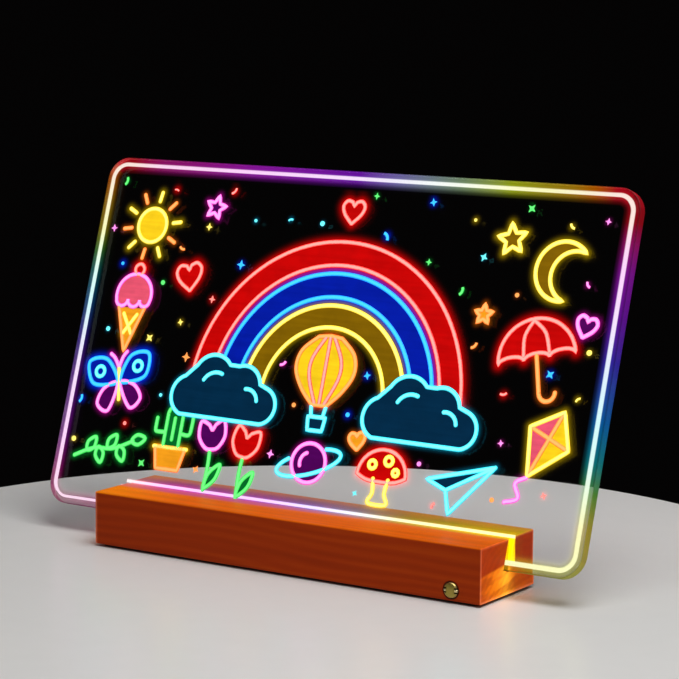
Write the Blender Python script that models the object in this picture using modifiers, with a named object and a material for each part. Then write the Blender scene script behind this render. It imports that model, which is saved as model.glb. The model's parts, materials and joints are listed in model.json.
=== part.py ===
"""Light-up writing board: a clear sheet that leans in the open slot of a wooden base, lit from below.

Metres, +Z up. The origin lies on the table under the middle of the base. +X runs along the base to the
right, and +Y to the back, the way in which the sheet leans. In the leaning frame, which stands at the
middle of the sheet's lower edge, "along" is measured up the sheet and "across" through its thickness,
towards the back.
"""
import math

import bmesh
import bpy
from mathutils import Vector

MM = 0.001

# Fits and facets
SEAT_GAP = 0.3 * MM                    # between two pieces that rest on each other
CUT_OVERRUN = 2.0 * MM                 # how far a cutter runs past the face that it opens
MERGE_DISTANCE = 0.01 * MM
FINE_STEPS = 32
ROUND_STEPS = 16
CORNER_STEPS = 6
BOARD_CORNER_STEPS = 2
BEVEL_SEGMENTS = 3

# Wooden base block and its foam foot
BASE_LENGTH = 264.0 * MM
BASE_DEPTH = 60.0 * MM
BASE_HEIGHT = 33.0 * MM                # from the table to the block's top face
BASE_EDGE_RADIUS = 0.9 * MM
PAD_THICKNESS = 1.2 * MM
PAD_EDGE_INSET = 3.0 * MM
PAD_CORNER_RADIUS = 4.0 * MM

# Leaning slot
LEAN = math.radians(18.0)
SLOT_TOP_Y = 3.8 * MM                  # the slot's middle line on the block's top face
SLOT_DEPTH = 18.5 * MM                 # along the lean, from the top face to the sheet's lower edge
SLOT_SIDE_CLEARANCE = 0.4 * MM

# Clear sheet
PANEL_WIDTH = 368.0 * MM
PANEL_HEIGHT = 217.6 * MM
PANEL_THICKNESS = 6.0 * MM
PANEL_CORNER_RADIUS = 14.0 * MM
PANEL_EDGE_BEVEL = 0.4 * MM
PANEL_SHIFT_X = -6.0 * MM              # how far the sheet stands off the base's middle
BORDER_INSET = 3.05 * MM               # from the sheet's edge to the engraved border groove
BORDER_WIDTH = 2.5 * MM
BORDER_DEPTH = 0.5 * MM

# Hollow under the block: a long pocket, wider at its right end for the control board
POCKET_HEIGHT = 11.5 * MM              # above the block's underside
POCKET_END_WALL = 12.0 * MM
POCKET_SIDE_WALL = 10.0 * MM
POCKET_CORNER_RADIUS = 1.8 * MM
POCKET_CORNER_LIMIT_SHARE = 0.45       # the most a fillet takes of the step from pocket to bay
POCKET_CORNER_STEPS = 3
BAY_LENGTH = 38.0 * MM
BAY_SIDE_WALL = 4.5 * MM

# Bottom cover in its rebate
COVER_THICKNESS = 2.0 * MM
COVER_END_INSET = 4.0 * MM
COVER_SIDE_INSET = 4.0 * MM
COVER_CORNER_RADIUS = 5.0 * MM
COVER_SCREW_LENGTH = 9.0 * MM
COVER_SCREW_RADIUS = 1.5 * MM
COVER_SCREW_HEAD_RADIUS = 2.8 * MM
COVER_SCREW_HEAD_HEIGHT = 1.4 * MM
COVER_SCREW_END_INSET = 7.7 * MM       # from the block's end to the corner screws
COVER_SCREW_SIDE_INSET = 12.0 * MM     # from the block's side to the corner screws
MIDDLE_SCREW_SIDE_INSET = 7.0 * MM     # from the block's side to the two middle screws
SCREW_RECESS_WIDTH = 0.6 * MM
SCREW_RECESS_DEPTH = 0.6 * MM
SCREW_RECESS_LENGTH_SHARE = 1.1        # of the head's radius

# Light: diffuser, channel, strip and lamps under the sheet's lower edge
CHANNEL_WIDTH = 10.0 * MM
CHANNEL_WALL = 1.0 * MM
CHANNEL_HEIGHT = 4.8 * MM
CHANNEL_END_MARGIN = 26.0 * MM         # from the block's end to the channel's end
DIFFUSER_THICKNESS = 1.2 * MM
STRIP_THICKNESS = 0.8 * MM
STRIP_END_INSET = 2.0 * MM             # strip inside the channel at its left end
STRIP_OVERHANG = 2.0 * MM              # strip past the channel at its right end
LED_COUNT = 16
LED_SIZE = 5.0 * MM
LED_HEIGHT = 1.4 * MM
LED_LENS_RADIUS = 1.9 * MM
LED_LENS_DEPTH = 0.4 * MM
LED_ROW_END_INSET = 8.0 * MM           # from the channel's end to the first lamp's middle

# Straps that hold the channel
CLIP_THICKNESS = 0.8 * MM
CLIP_WIDTH = 8.0 * MM
CLIP_FLANGE = 6.4 * MM
CLIP_SCREW_EDGE = 2.9 * MM             # from the flange's end to its screw
CLIP_SCREW_RADIUS = 1.2 * MM
CLIP_SCREW_LENGTH = 8.0 * MM
CLIP_SCREW_HEAD_RADIUS = 2.0 * MM
CLIP_SCREW_HEAD_HEIGHT = 1.2 * MM

# Push button, turned about an axis that runs into the block from its front
BUTTON_END_DISTANCE = 18.6 * MM        # from the block's right end to the button's axis
BUTTON_HEIGHT = 7.6 * MM               # axis above the table
BUTTON_RADIUS = 4.4 * MM
BUTTON_PROUD = 0.8 * MM
BUTTON_THICKNESS = 1.6 * MM
BUTTON_EDGE_ROUND = 0.5 * MM
BUTTON_TRAVEL = 0.8 * MM
BUTTON_NOTCH_LENGTH = 1.6 * MM         # four short notches run in from the rim, two on each side
BUTTON_NOTCH_WIDTH = 0.8 * MM
BUTTON_NOTCH_DEPTH = 0.4 * MM
BUTTON_NOTCH_SPACING = 2.3 * MM        # between the middles of the two on one side
COUNTERBORE_CLEARANCE = 0.4 * MM
COUNTERBORE_DEPTH = 2.2 * MM
STEM_RADIUS = 2.0 * MM
STEM_CLEARANCE = 0.25 * MM
STEM_NECK_RADIUS = 1.2 * MM            # where the clip sits
STEM_TIP_RADIUS = 1.7 * MM
STEM_TIP_LENGTH = 1.1 * MM
BUSH_WALL = 1.0 * MM
BUSH_FLANGE_RADIUS = 3.8 * MM
BUSH_FLANGE_THICKNESS = 1.0 * MM
RETAINER_RADIUS = 3.3 * MM
RETAINER_THICKNESS = 0.6 * MM
RETAINER_MOUTH = 1.6 * MM

# Push switch behind the button
SWITCH_WIDTH = 6.0 * MM
SWITCH_DEPTH = 3.6 * MM
SWITCH_HEIGHT = 3.2 * MM
PLUNGER_RADIUS = 1.0 * MM
PLUNGER_PROUD = 1.2 * MM
PLUNGER_ENGAGEMENT = 1.1 * MM          # plunger inside the switch at rest
PLUNGER_BORE_SPARE = 0.5 * MM

# Control board and what stands on it
BOARD_LENGTH = 34.0 * MM
BOARD_THICKNESS = 1.0 * MM
BOARD_SIDE_CLEARANCE = 0.5 * MM
BOARD_CORNER_RADIUS = 1.0 * MM
BOARD_SCREW_RADIUS = 0.9 * MM
BOARD_SCREW_HEAD_RADIUS = 1.7 * MM
BOARD_SCREW_HEAD_HEIGHT = 0.9 * MM
BOSS_RADIUS = 2.4 * MM
BOARD_SCREW_PLACE_SHARES = ((0.09, 0.07), (0.62, 0.07), (0.09, 0.93), (0.91, 0.93))
CONTROLLER_SIZE = (6.0 * MM, 5.0 * MM, 1.4 * MM)
CONTROLLER_PLACE_SHARES = (0.45, 0.42)
CHARGER_SIZE = (3.0 * MM, 3.0 * MM, 1.0 * MM)
CHARGER_PLACE_SHARES = (0.62, 0.62)
INDUCTOR_SIZE = (5.0 * MM, 5.0 * MM, 3.0 * MM)
INDUCTOR_PLACE_SHARES = (0.38, 0.17)
CAPACITOR_RADIUS = 3.1 * MM
CAPACITOR_HEIGHT = 5.4 * MM
CAPACITOR_PLACE_SHARES = (0.78, 0.74)
CONNECTOR_SIZE = (6.0 * MM, 7.5 * MM, 4.6 * MM)
CONNECTOR_MOUTH_DEPTH = 3.0 * MM
CONNECTOR_WALL = 0.9 * MM
CONNECTOR_PLACE_SHARES = (0.11, 0.68)
PART_EDGE_BEVEL = 0.25 * MM

# Charging socket in the back and the recess for its plug
USB_PLACE_SHARE = 0.35                 # along the board
USB_WIDTH = 8.94 * MM
USB_HEIGHT = 3.26 * MM
USB_LENGTH = 7.6 * MM
USB_WALL = 0.35 * MM
USB_OVERHANG = 1.5 * MM                # past the board's back edge
USB_BACK_WALL = 1.0 * MM
TONGUE_WIDTH = 6.6 * MM
TONGUE_THICKNESS = 0.7 * MM
TONGUE_INSET = 0.8 * MM                # behind the socket's mouth
PLUG_RECESS_WIDTH = 12.9 * MM
PLUG_RECESS_HEIGHT = 7.0 * MM
PLUG_RECESS_RADIUS = 3.0 * MM

# Battery on the bottom cover
BATTERY_LENGTH = 55.0 * MM
BATTERY_THICKNESS = 7.0 * MM
BATTERY_EDGE_RADIUS = 1.6 * MM
BATTERY_BOARD_DISTANCE = 18.0 * MM     # from the battery's end to the board
BATTERY_WALL_CLEARANCE = 0.5 * MM
BATTERY_CHANNEL_CLEARANCE = 1.9 * MM
TAPE_THICKNESS = 0.8 * MM
TAPE_INSET = 1.5 * MM

# Wires
WIRE_RADIUS = 0.6 * MM
WIRE_PITCH = 2.4 * MM
WIRE_POINTS = 9
LED_WIRE_REACH = 5.0 * MM              # how far the lamp wires swing past the strip's end
WIRE_EASE_SHARE = 0.55                 # handle length, as a share of a wire's span

# Places that follow from the sizes
BLOCK_BOTTOM = PAD_THICKNESS + SEAT_GAP
BLOCK_HEIGHT = BASE_HEIGHT - BLOCK_BOTTOM
HALF_LENGTH = BASE_LENGTH / 2
HALF_DEPTH = BASE_DEPTH / 2
SLOT_WIDTH = PANEL_THICKNESS + 2 * SLOT_SIDE_CLEARANCE
FOOT_Y = SLOT_TOP_Y - SLOT_DEPTH * math.sin(LEAN)
FOOT_Z = BASE_HEIGHT - SLOT_DEPTH * math.cos(LEAN)

DIFFUSER_TOP = -2 * SEAT_GAP
CHANNEL_TOP = DIFFUSER_TOP - DIFFUSER_THICKNESS - SEAT_GAP
CHANNEL_BOTTOM = CHANNEL_TOP - CHANNEL_HEIGHT
STRIP_BOTTOM = CHANNEL_BOTTOM + CHANNEL_WALL + SEAT_GAP
STRIP_TOP = STRIP_BOTTOM + STRIP_THICKNESS
LED_BOTTOM = STRIP_TOP + SEAT_GAP
CHANNEL_LENGTH = BASE_LENGTH - 2 * CHANNEL_END_MARGIN
STRIP_END = CHANNEL_LENGTH / 2 + STRIP_OVERHANG
GROOVE_END = STRIP_END + LED_WIRE_REACH + 2 * WIRE_RADIUS + SEAT_GAP
STRIP_WIDTH = CHANNEL_WIDTH - 2 * CHANNEL_WALL - 2 * SEAT_GAP

POCKET_CEILING = BLOCK_BOTTOM + POCKET_HEIGHT
POCKET_RIGHT = HALF_LENGTH - POCKET_END_WALL
POCKET_SIDE = HALF_DEPTH - POCKET_SIDE_WALL
BAY_LEFT = POCKET_RIGHT - BAY_LENGTH
BAY_SIDE = HALF_DEPTH - BAY_SIDE_WALL
COVER_TOP = BLOCK_BOTTOM + COVER_THICKNESS

BUTTON_X = HALF_LENGTH - BUTTON_END_DISTANCE
BUSH_FLANGE_FRONT = BAY_SIDE_WALL + SEAT_GAP
BUSH_BACK = BUSH_FLANGE_FRONT + BUSH_FLANGE_THICKNESS
BUSH_RADIUS = STEM_RADIUS + STEM_CLEARANCE + BUSH_WALL
RETAINER_FRONT = BUSH_BACK + SEAT_GAP
NECK_FRONT = RETAINER_FRONT - SEAT_GAP
NECK_BACK = RETAINER_FRONT + RETAINER_THICKNESS + SEAT_GAP
STEM_END = NECK_BACK + STEM_TIP_LENGTH
PLUNGER_FRONT = STEM_END + SEAT_GAP
SWITCH_FRONT = PLUNGER_FRONT + PLUNGER_PROUD

BOARD_TOP = BUTTON_HEIGHT - SWITCH_HEIGHT / 2 - SEAT_GAP
BOARD_BOTTOM = BOARD_TOP - BOARD_THICKNESS
BOARD_LEFT = BAY_LEFT + (BAY_LENGTH - BOARD_LENGTH) / 2
BOARD_FRONT = -HALF_DEPTH + STEM_END + SEAT_GAP
BOARD_BACK = BAY_SIDE - BOARD_SIDE_CLEARANCE
BOARD_DEPTH = BOARD_BACK - BOARD_FRONT
BOSS_TOP = BOARD_BOTTOM - SEAT_GAP
USB_X = BOARD_LEFT + BOARD_LENGTH * USB_PLACE_SHARE
USB_CENTRE_Z = BOARD_TOP + SEAT_GAP + USB_HEIGHT / 2
USB_MOUTH = BOARD_BACK + USB_OVERHANG
USB_BACK_END = USB_MOUTH - USB_LENGTH

BATTERY_RIGHT = BOARD_LEFT - BATTERY_BOARD_DISTANCE
BATTERY_X = BATTERY_RIGHT - BATTERY_LENGTH / 2
CHANNEL_BACK = FOOT_Y + CHANNEL_TOP * math.sin(LEAN) + CHANNEL_WIDTH / 2 * math.cos(LEAN)
BATTERY_FRONT = CHANNEL_BACK + BATTERY_CHANNEL_CLEARANCE
BATTERY_DEPTH = POCKET_SIDE - BATTERY_WALL_CLEARANCE - BATTERY_FRONT
BATTERY_Y = BATTERY_FRONT + BATTERY_DEPTH / 2
CLIP_X = (BATTERY_RIGHT + BOARD_LEFT) / 2   # the right strap lies between the battery and the board
TAPE_BOTTOM = COVER_TOP + SEAT_GAP
BATTERY_BOTTOM = TAPE_BOTTOM + TAPE_THICKNESS + SEAT_GAP

# Turns that lay a flat outline or an upright turned piece in the block's or the sheet's planes
UPRIGHT = (0, 0, 0)
FACING_FRONT = (math.pi / 2, 0, 0)     # outline x to +X, outline y to +Z, thickness to -Y
FACING_RIGHT = (math.pi / 2, 0, math.pi / 2)   # outline x to +Y, outline y to +Z, thickness to +X
INTO_FRONT = (-math.pi / 2, 0, 0)      # turned axis to +Y

# Colour, roughness and metallic value of each finish
LOOKS = {
    "cherry_wood": ((0.42, 0.10, 0.02), 0.45, 0.0),
    "clear_sheet": ((0.85, 0.90, 0.92), 0.05, 0.0),
    "milky_plastic": ((0.85, 0.85, 0.82), 0.5, 0.0),
    "aluminium": ((0.70, 0.71, 0.72), 0.35, 1.0),
    "steel": ((0.55, 0.55, 0.56), 0.35, 1.0),
    "brass": ((0.62, 0.47, 0.20), 0.28, 1.0),
    "white_board": ((0.80, 0.80, 0.78), 0.45, 0.0),
    "green_board": ((0.02, 0.18, 0.06), 0.4, 0.0),
    "black_plastic": ((0.02, 0.02, 0.02), 0.45, 0.0),
    "white_plastic": ((0.78, 0.76, 0.70), 0.4, 0.0),
    "ferrite": ((0.09, 0.09, 0.10), 0.6, 0.0),
    "battery_foil": ((0.52, 0.55, 0.60), 0.3, 1.0),
    "foam": ((0.03, 0.03, 0.03), 0.9, 0.0),
    "white_foam": ((0.75, 0.75, 0.73), 0.9, 0.0),
    "red_wire": ((0.55, 0.02, 0.02), 0.5, 0.0),
    "black_wire": ((0.02, 0.02, 0.02), 0.5, 0.0),
    "green_wire": ((0.02, 0.30, 0.08), 0.5, 0.0),
    "white_wire": ((0.78, 0.78, 0.76), 0.5, 0.0),
}


def clear_scene():
    for old_object in list(bpy.data.objects):
        bpy.data.objects.remove(old_object, do_unlink=True)


def new_collection(name):
    collection = bpy.data.collections.new(name)
    bpy.context.scene.collection.children.link(collection)
    return collection


clear_scene()
PARTS = new_collection("writing_board")
CUTTERS = new_collection("cutters")


def empty(name, location, rotation=UPRIGHT):
    """A frame that pieces are parented to."""
    frame = bpy.data.objects.new(name, None)
    frame.location = location
    frame.rotation_euler = rotation
    PARTS.objects.link(frame)
    return frame


def place(name, data, location, rotation=UPRIGHT, parent=None, collection=PARTS):
    piece = bpy.data.objects.new(name, data)
    piece.location = location
    piece.rotation_euler = rotation
    piece.parent = parent
    collection.objects.link(piece)
    return piece


def finish(piece, look):
    colour, roughness, metallic = LOOKS[look]
    material = bpy.data.materials.new(piece.name)
    material.use_nodes = True
    shader = material.node_tree.nodes["Principled BSDF"]
    shader.inputs["Base Color"].default_value = (*colour, 1)
    shader.inputs["Roughness"].default_value = roughness
    shader.inputs["Metallic"].default_value = metallic
    if not piece.data.materials:
        piece.data.materials.append(None)
    piece.material_slots[0].link = "OBJECT"
    piece.material_slots[0].material = material
    return piece


def boolean(piece, tools, operation="DIFFERENCE"):
    """Cuts a piece with a set of tools, or joins them to it, all at once."""
    tool_set = bpy.data.collections.new(f"{operation.lower()}_{piece.name}")
    CUTTERS.children.link(tool_set)
    for tool in tools:
        PARTS.objects.unlink(tool)
        tool_set.objects.link(tool)
        tool.hide_render = True
        tool.display_type = "WIRE"
    modifier = piece.modifiers.new(tool_set.name, "BOOLEAN")
    modifier.operation = operation
    modifier.solver = "EXACT"
    modifier.operand_type = "COLLECTION"
    modifier.collection = tool_set


def bevel(piece, width, segments=1):
    modifier = piece.modifiers.new("rounded_edges", "BEVEL")
    modifier.width = width
    modifier.segments = segments
    modifier.limit_method = "ANGLE"


def plain_mesh(piece):
    """The evaluated shape of an object as a welded mesh."""
    bpy.context.view_layer.update()
    evaluated = piece.evaluated_get(bpy.context.evaluated_depsgraph_get())
    mesh = bpy.data.meshes.new_from_object(evaluated)
    shape = bmesh.new()
    shape.from_mesh(mesh)
    bmesh.ops.remove_doubles(shape, verts=shape.verts, dist=MERGE_DISTANCE)
    bmesh.ops.recalc_face_normals(shape, faces=shape.faces)
    shape.to_mesh(mesh)
    shape.free()
    return mesh


def box(name, size, centre, rotation=UPRIGHT, parent=None):
    mesh = bpy.data.meshes.new(name)
    shape = bmesh.new()
    bmesh.ops.create_cube(shape, size=1)
    bmesh.ops.scale(shape, vec=Vector(size), verts=shape.verts)
    shape.to_mesh(mesh)
    shape.free()
    return place(name, mesh, centre, rotation, parent)


def arc_points(corner, before, after, radius, steps):
    """Points of the fillet that rounds the corner between its two neighbours."""
    to_before = (before - corner).normalized()
    to_after = (after - corner).normalized()
    half_angle = to_before.angle(to_after) / 2
    tangent = radius / math.tan(half_angle)
    centre = corner + (to_before + to_after).normalized() * (radius / math.sin(half_angle))
    start = corner + to_before * tangent - centre
    end = corner + to_after * tangent - centre
    sweep = start.angle_signed(end)
    points = []
    for step in range(steps + 1):
        turn = -sweep * step / steps
        points.append(centre + Vector((
            start.x * math.cos(turn) - start.y * math.sin(turn),
            start.x * math.sin(turn) + start.y * math.cos(turn),
        )))
    return points


def rounded_outline(corners, radius, steps=CORNER_STEPS):
    """A closed outline whose corners all have the same fillet."""
    points = [Vector(corner) for corner in corners]
    outline = []
    for index, corner in enumerate(points):
        before = points[index - 1]
        after = points[(index + 1) % len(points)]
        outline.extend(arc_points(corner, before, after, radius, steps))
    return outline


def rounded_rectangle(width, height, radius, centre=(0, 0), steps=CORNER_STEPS):
    across = width / 2
    up = height / 2
    x, y = centre
    corners = [(x - across, y - up), (x + across, y - up), (x + across, y + up), (x - across, y + up)]
    return rounded_outline(corners, radius, steps)


def plate(name, outlines, thickness, centre, rotation=UPRIGHT, parent=None):
    """A flat plate from an outline, and holes where more outlines are given."""
    curve = bpy.data.curves.new(name, "CURVE")
    curve.dimensions = "2D"
    curve.fill_mode = "BOTH"
    curve.extrude = thickness / 2
    for outline in outlines:
        spline = curve.splines.new("POLY")
        spline.points.add(len(outline) - 1)
        for point, spot in zip(spline.points, outline):
            point.co = (spot[0], spot[1], 0, 1)
        spline.use_cyclic_u = True
    drawing = place(name, curve, centre, rotation, parent)
    mesh = plain_mesh(drawing)
    bpy.data.objects.remove(drawing)
    bpy.data.curves.remove(curve)
    mesh.name = name
    return place(name, mesh, centre, rotation, parent)


def baked_mesh(piece, tools):
    """The finished mesh of a repeated piece, whose first copy and tools are then removed."""
    mesh = plain_mesh(piece)
    for used in (piece, *tools):
        bpy.data.objects.remove(used)
    return mesh


def turned(name, profile, centre, rotation=UPRIGHT, parent=None, steps=ROUND_STEPS):
    """A turned piece: (radius, height) points down its outer side, spun about its own Z axis."""
    mesh = bpy.data.meshes.new(name)
    edges = [(index, index + 1) for index in range(len(profile) - 1)]
    if profile[0][0] > 0:
        edges.append((len(profile) - 1, 0))
    mesh.from_pydata([(radius, 0, height) for radius, height in profile], edges, [])
    piece = place(name, mesh, centre, rotation, parent)
    spin = piece.modifiers.new("spin", "SCREW")
    spin.steps = steps
    spin.render_steps = steps
    spin.use_merge_vertices = True
    spin.merge_threshold = MERGE_DISTANCE
    spin.use_smooth_shade = False
    return piece


def rod(name, radius, bottom, top, centre, rotation=UPRIGHT, parent=None, steps=ROUND_STEPS):
    profile = [(0, top), (radius, top), (radius, bottom), (0, bottom)]
    return turned(name, profile, centre, rotation, parent, steps)


def tube_along(name, points, radius):
    curve = bpy.data.curves.new(name, "CURVE")
    curve.dimensions = "3D"
    curve.bevel_depth = radius
    curve.bevel_resolution = 2
    curve.use_fill_caps = True
    spline = curve.splines.new("POLY")
    spline.points.add(len(points) - 1)
    for point, spot in zip(spline.points, points):
        point.co = (*spot, 1)
    return place(name, curve, (0, 0, 0))


def eased_route(start, start_way, end, end_way):
    """Points on one smooth curve that leaves and arrives in the given directions."""
    start = Vector(start)
    end = Vector(end)
    reach = (end - start).length * WIRE_EASE_SHARE
    first_handle = start + Vector(start_way) * reach
    last_handle = end - Vector(end_way) * reach
    points = []
    for step in range(WIRE_POINTS):
        share = step / (WIRE_POINTS - 1)
        rest = 1 - share
        points.append(
            start * rest ** 3
            + first_handle * (3 * share * rest ** 2)
            + last_handle * (3 * share ** 2 * rest)
            + end * share ** 3
        )
    return points


def leaning_point(x, along, across):
    """World place of a point of the leaning frame."""
    y = FOOT_Y + along * math.sin(LEAN) + across * math.cos(LEAN)
    z = FOOT_Z + along * math.cos(LEAN) - across * math.sin(LEAN)
    return Vector((x, y, z))


def board_place(shares, height):
    """World place of a piece that stands on the control board, by its shares of the board's sides."""
    x = BOARD_LEFT + BOARD_LENGTH * shares[0]
    y = BOARD_FRONT + BOARD_DEPTH * shares[1]
    return Vector((x, y, BOARD_TOP + SEAT_GAP + height / 2))


LEANING = empty("leaning_frame", (0, FOOT_Y, FOOT_Z), (-LEAN, 0, 0))
PANEL_SLIDE = empty("panel_lift_axis", (PANEL_SHIFT_X, FOOT_Y, FOOT_Z), (-LEAN, 0, 0))
BUTTON_AXIS = empty("button_axis", (BUTTON_X, -HALF_DEPTH, BUTTON_HEIGHT), INTO_FRONT)


def cover_screw_places():
    corner_x = HALF_LENGTH - COVER_SCREW_END_INSET
    corner_y = HALF_DEPTH - COVER_SCREW_SIDE_INSET
    middle_y = HALF_DEPTH - MIDDLE_SCREW_SIDE_INSET
    places = [(x, y) for x in (-corner_x, corner_x) for y in (-corner_y, corner_y)]
    places.extend((0, y) for y in (-middle_y, middle_y))
    return places


def board_screw_places():
    return [board_place(shares, 0).to_2d() for shares in BOARD_SCREW_PLACE_SHARES]


def strap_corners():
    """The strap's inner line, from flange to flange round the channel, in world Y and Z."""
    ceiling = POCKET_CEILING - SEAT_GAP
    side = CHANNEL_WIDTH / 2 + SEAT_GAP
    low = CHANNEL_BOTTOM - SEAT_GAP
    front_y = FOOT_Y + (ceiling - FOOT_Z) * math.tan(LEAN) - side / math.cos(LEAN)
    back_y = front_y + 2 * side / math.cos(LEAN)
    front_low = leaning_point(0, low, -side)
    back_low = leaning_point(0, low, side)
    return [
        Vector((front_y - CLIP_FLANGE, ceiling)),
        Vector((front_y, ceiling)),
        Vector((front_low.y, front_low.z)),
        Vector((back_low.y, back_low.z)),
        Vector((back_y, ceiling)),
        Vector((back_y + CLIP_FLANGE, ceiling)),
    ]


def offset_line(points, distance):
    """A line parallel to another on its right-hand side, mitred at its corners."""
    shifted = []
    for index, point in enumerate(points):
        ways = []
        if index > 0:
            ways.append((point - points[index - 1]).normalized())
        if index < len(points) - 1:
            ways.append((points[index + 1] - point).normalized())
        sides = [Vector((way.y, -way.x)) for way in ways]
        if len(sides) == 1:
            shifted.append(point + sides[0] * distance)
            continue
        mean = (sides[0] + sides[1]).normalized()
        shifted.append(point + mean * (distance / mean.dot(sides[0])))
    return shifted


def clip_screw_places():
    corners = strap_corners()
    ys = (corners[0].x + CLIP_SCREW_EDGE, corners[-1].x - CLIP_SCREW_EDGE)
    return [(x, y) for x in (-CLIP_X, CLIP_X) for y in ys]


def block_cutters():
    """Everything that is taken out of the wooden block."""
    cutters = []
    slot_height = SLOT_DEPTH + SLOT_WIDTH + CUT_OVERRUN + SEAT_GAP
    cutters.append(box(
        "cut_slot",
        (BASE_LENGTH + 2 * CUT_OVERRUN, SLOT_WIDTH, slot_height),
        (0, 0, slot_height / 2 - SEAT_GAP),
        parent=LEANING,
    ))
    groove_depth = -(CHANNEL_BOTTOM - SEAT_GAP)
    cutters.append(box(
        "cut_channel_groove",
        (2 * GROOVE_END, CHANNEL_WIDTH + 2 * SEAT_GAP, groove_depth),
        (0, 0, -groove_depth / 2),
        parent=LEANING,
    ))
    pocket = [
        (-POCKET_RIGHT, -POCKET_SIDE),
        (BAY_LEFT, -POCKET_SIDE),
        (BAY_LEFT, -BAY_SIDE),
        (POCKET_RIGHT, -BAY_SIDE),
        (POCKET_RIGHT, BAY_SIDE),
        (BAY_LEFT, BAY_SIDE),
        (BAY_LEFT, POCKET_SIDE),
        (-POCKET_RIGHT, POCKET_SIDE),
    ]
    pocket_cut = POCKET_HEIGHT + CUT_OVERRUN
    pocket_radius = min(POCKET_CORNER_RADIUS, (BAY_SIDE - POCKET_SIDE) * POCKET_CORNER_LIMIT_SHARE)
    cutters.append(plate(
        "cut_pocket",
        [rounded_outline(pocket, pocket_radius, POCKET_CORNER_STEPS)],
        pocket_cut,
        (0, 0, POCKET_CEILING - pocket_cut / 2),
    ))
    rebate_cut = COVER_THICKNESS + SEAT_GAP + CUT_OVERRUN
    rebate_length = BASE_LENGTH - 2 * COVER_END_INSET + 2 * SEAT_GAP
    rebate_depth = BASE_DEPTH - 2 * COVER_SIDE_INSET + 2 * SEAT_GAP
    cutters.append(plate(
        "cut_cover_rebate",
        [rounded_rectangle(rebate_length, rebate_depth, COVER_CORNER_RADIUS + SEAT_GAP)],
        rebate_cut,
        (0, 0, COVER_TOP + SEAT_GAP - rebate_cut / 2),
    ))
    for number, (x, y) in enumerate(cover_screw_places(), 1):
        cutters.append(rod(
            f"cut_cover_screw_{number}",
            COVER_SCREW_RADIUS + SEAT_GAP,
            BLOCK_BOTTOM,
            BLOCK_BOTTOM + COVER_SCREW_LENGTH + SEAT_GAP,
            (x, y, 0),
        ))
    for number, (x, y) in enumerate(clip_screw_places(), 1):
        cutters.append(rod(
            f"cut_clip_screw_{number}",
            CLIP_SCREW_RADIUS + SEAT_GAP,
            POCKET_CEILING - CUT_OVERRUN,
            POCKET_CEILING + CLIP_SCREW_LENGTH,
            (x, y, 0),
        ))
    cutters.append(rod(
        "cut_button_counterbore",
        BUTTON_RADIUS + COUNTERBORE_CLEARANCE,
        -CUT_OVERRUN,
        COUNTERBORE_DEPTH,
        (0, 0, 0),
        parent=BUTTON_AXIS,
        steps=FINE_STEPS,
    ))
    cutters.append(rod(
        "cut_bush_bore",
        BUSH_RADIUS + SEAT_GAP,
        0,
        BAY_SIDE_WALL + CUT_OVERRUN,
        (0, 0, 0),
        parent=BUTTON_AXIS,
        steps=FINE_STEPS,
    ))
    recess_depth = BAY_SIDE_WALL + 2 * CUT_OVERRUN
    cutters.append(plate(
        "cut_plug_recess",
        [rounded_rectangle(PLUG_RECESS_WIDTH, PLUG_RECESS_HEIGHT, PLUG_RECESS_RADIUS)],
        recess_depth,
        (USB_X, BAY_SIDE - CUT_OVERRUN + recess_depth / 2, USB_CENTRE_Z),
        FACING_FRONT,
    ))
    return cutters


def make_base_block():
    block = box(
        "base_block",
        (BASE_LENGTH, BASE_DEPTH, BLOCK_HEIGHT),
        (0, 0, BLOCK_BOTTOM + BLOCK_HEIGHT / 2),
    )
    bevel(block, BASE_EDGE_RADIUS, BEVEL_SEGMENTS)
    boolean(block, block_cutters())
    finish(block, "cherry_wood")


def make_panel():
    """The clear sheet, with a shallow groove engraved round its front face."""
    middle = PANEL_HEIGHT / 2
    outline = rounded_rectangle(PANEL_WIDTH, PANEL_HEIGHT, PANEL_CORNER_RADIUS, steps=2 * CORNER_STEPS)
    panel = plate(
        "acrylic_panel", [outline], PANEL_THICKNESS, (0, 0, middle), FACING_FRONT, PANEL_SLIDE
    )
    bevel(panel, PANEL_EDGE_BEVEL)
    rings = []
    for inset in (BORDER_INSET, BORDER_INSET + BORDER_WIDTH):
        rings.append(rounded_rectangle(
            PANEL_WIDTH - 2 * inset,
            PANEL_HEIGHT - 2 * inset,
            PANEL_CORNER_RADIUS - inset,
            steps=2 * CORNER_STEPS,
        ))
    cut_depth = BORDER_DEPTH + CUT_OVERRUN
    ring = plate(
        "cut_border_groove",
        rings,
        cut_depth,
        (0, -PANEL_THICKNESS / 2 + BORDER_DEPTH - cut_depth / 2, middle),
        FACING_FRONT,
        PANEL_SLIDE,
    )
    boolean(panel, [ring])
    finish(panel, "clear_sheet")


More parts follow.
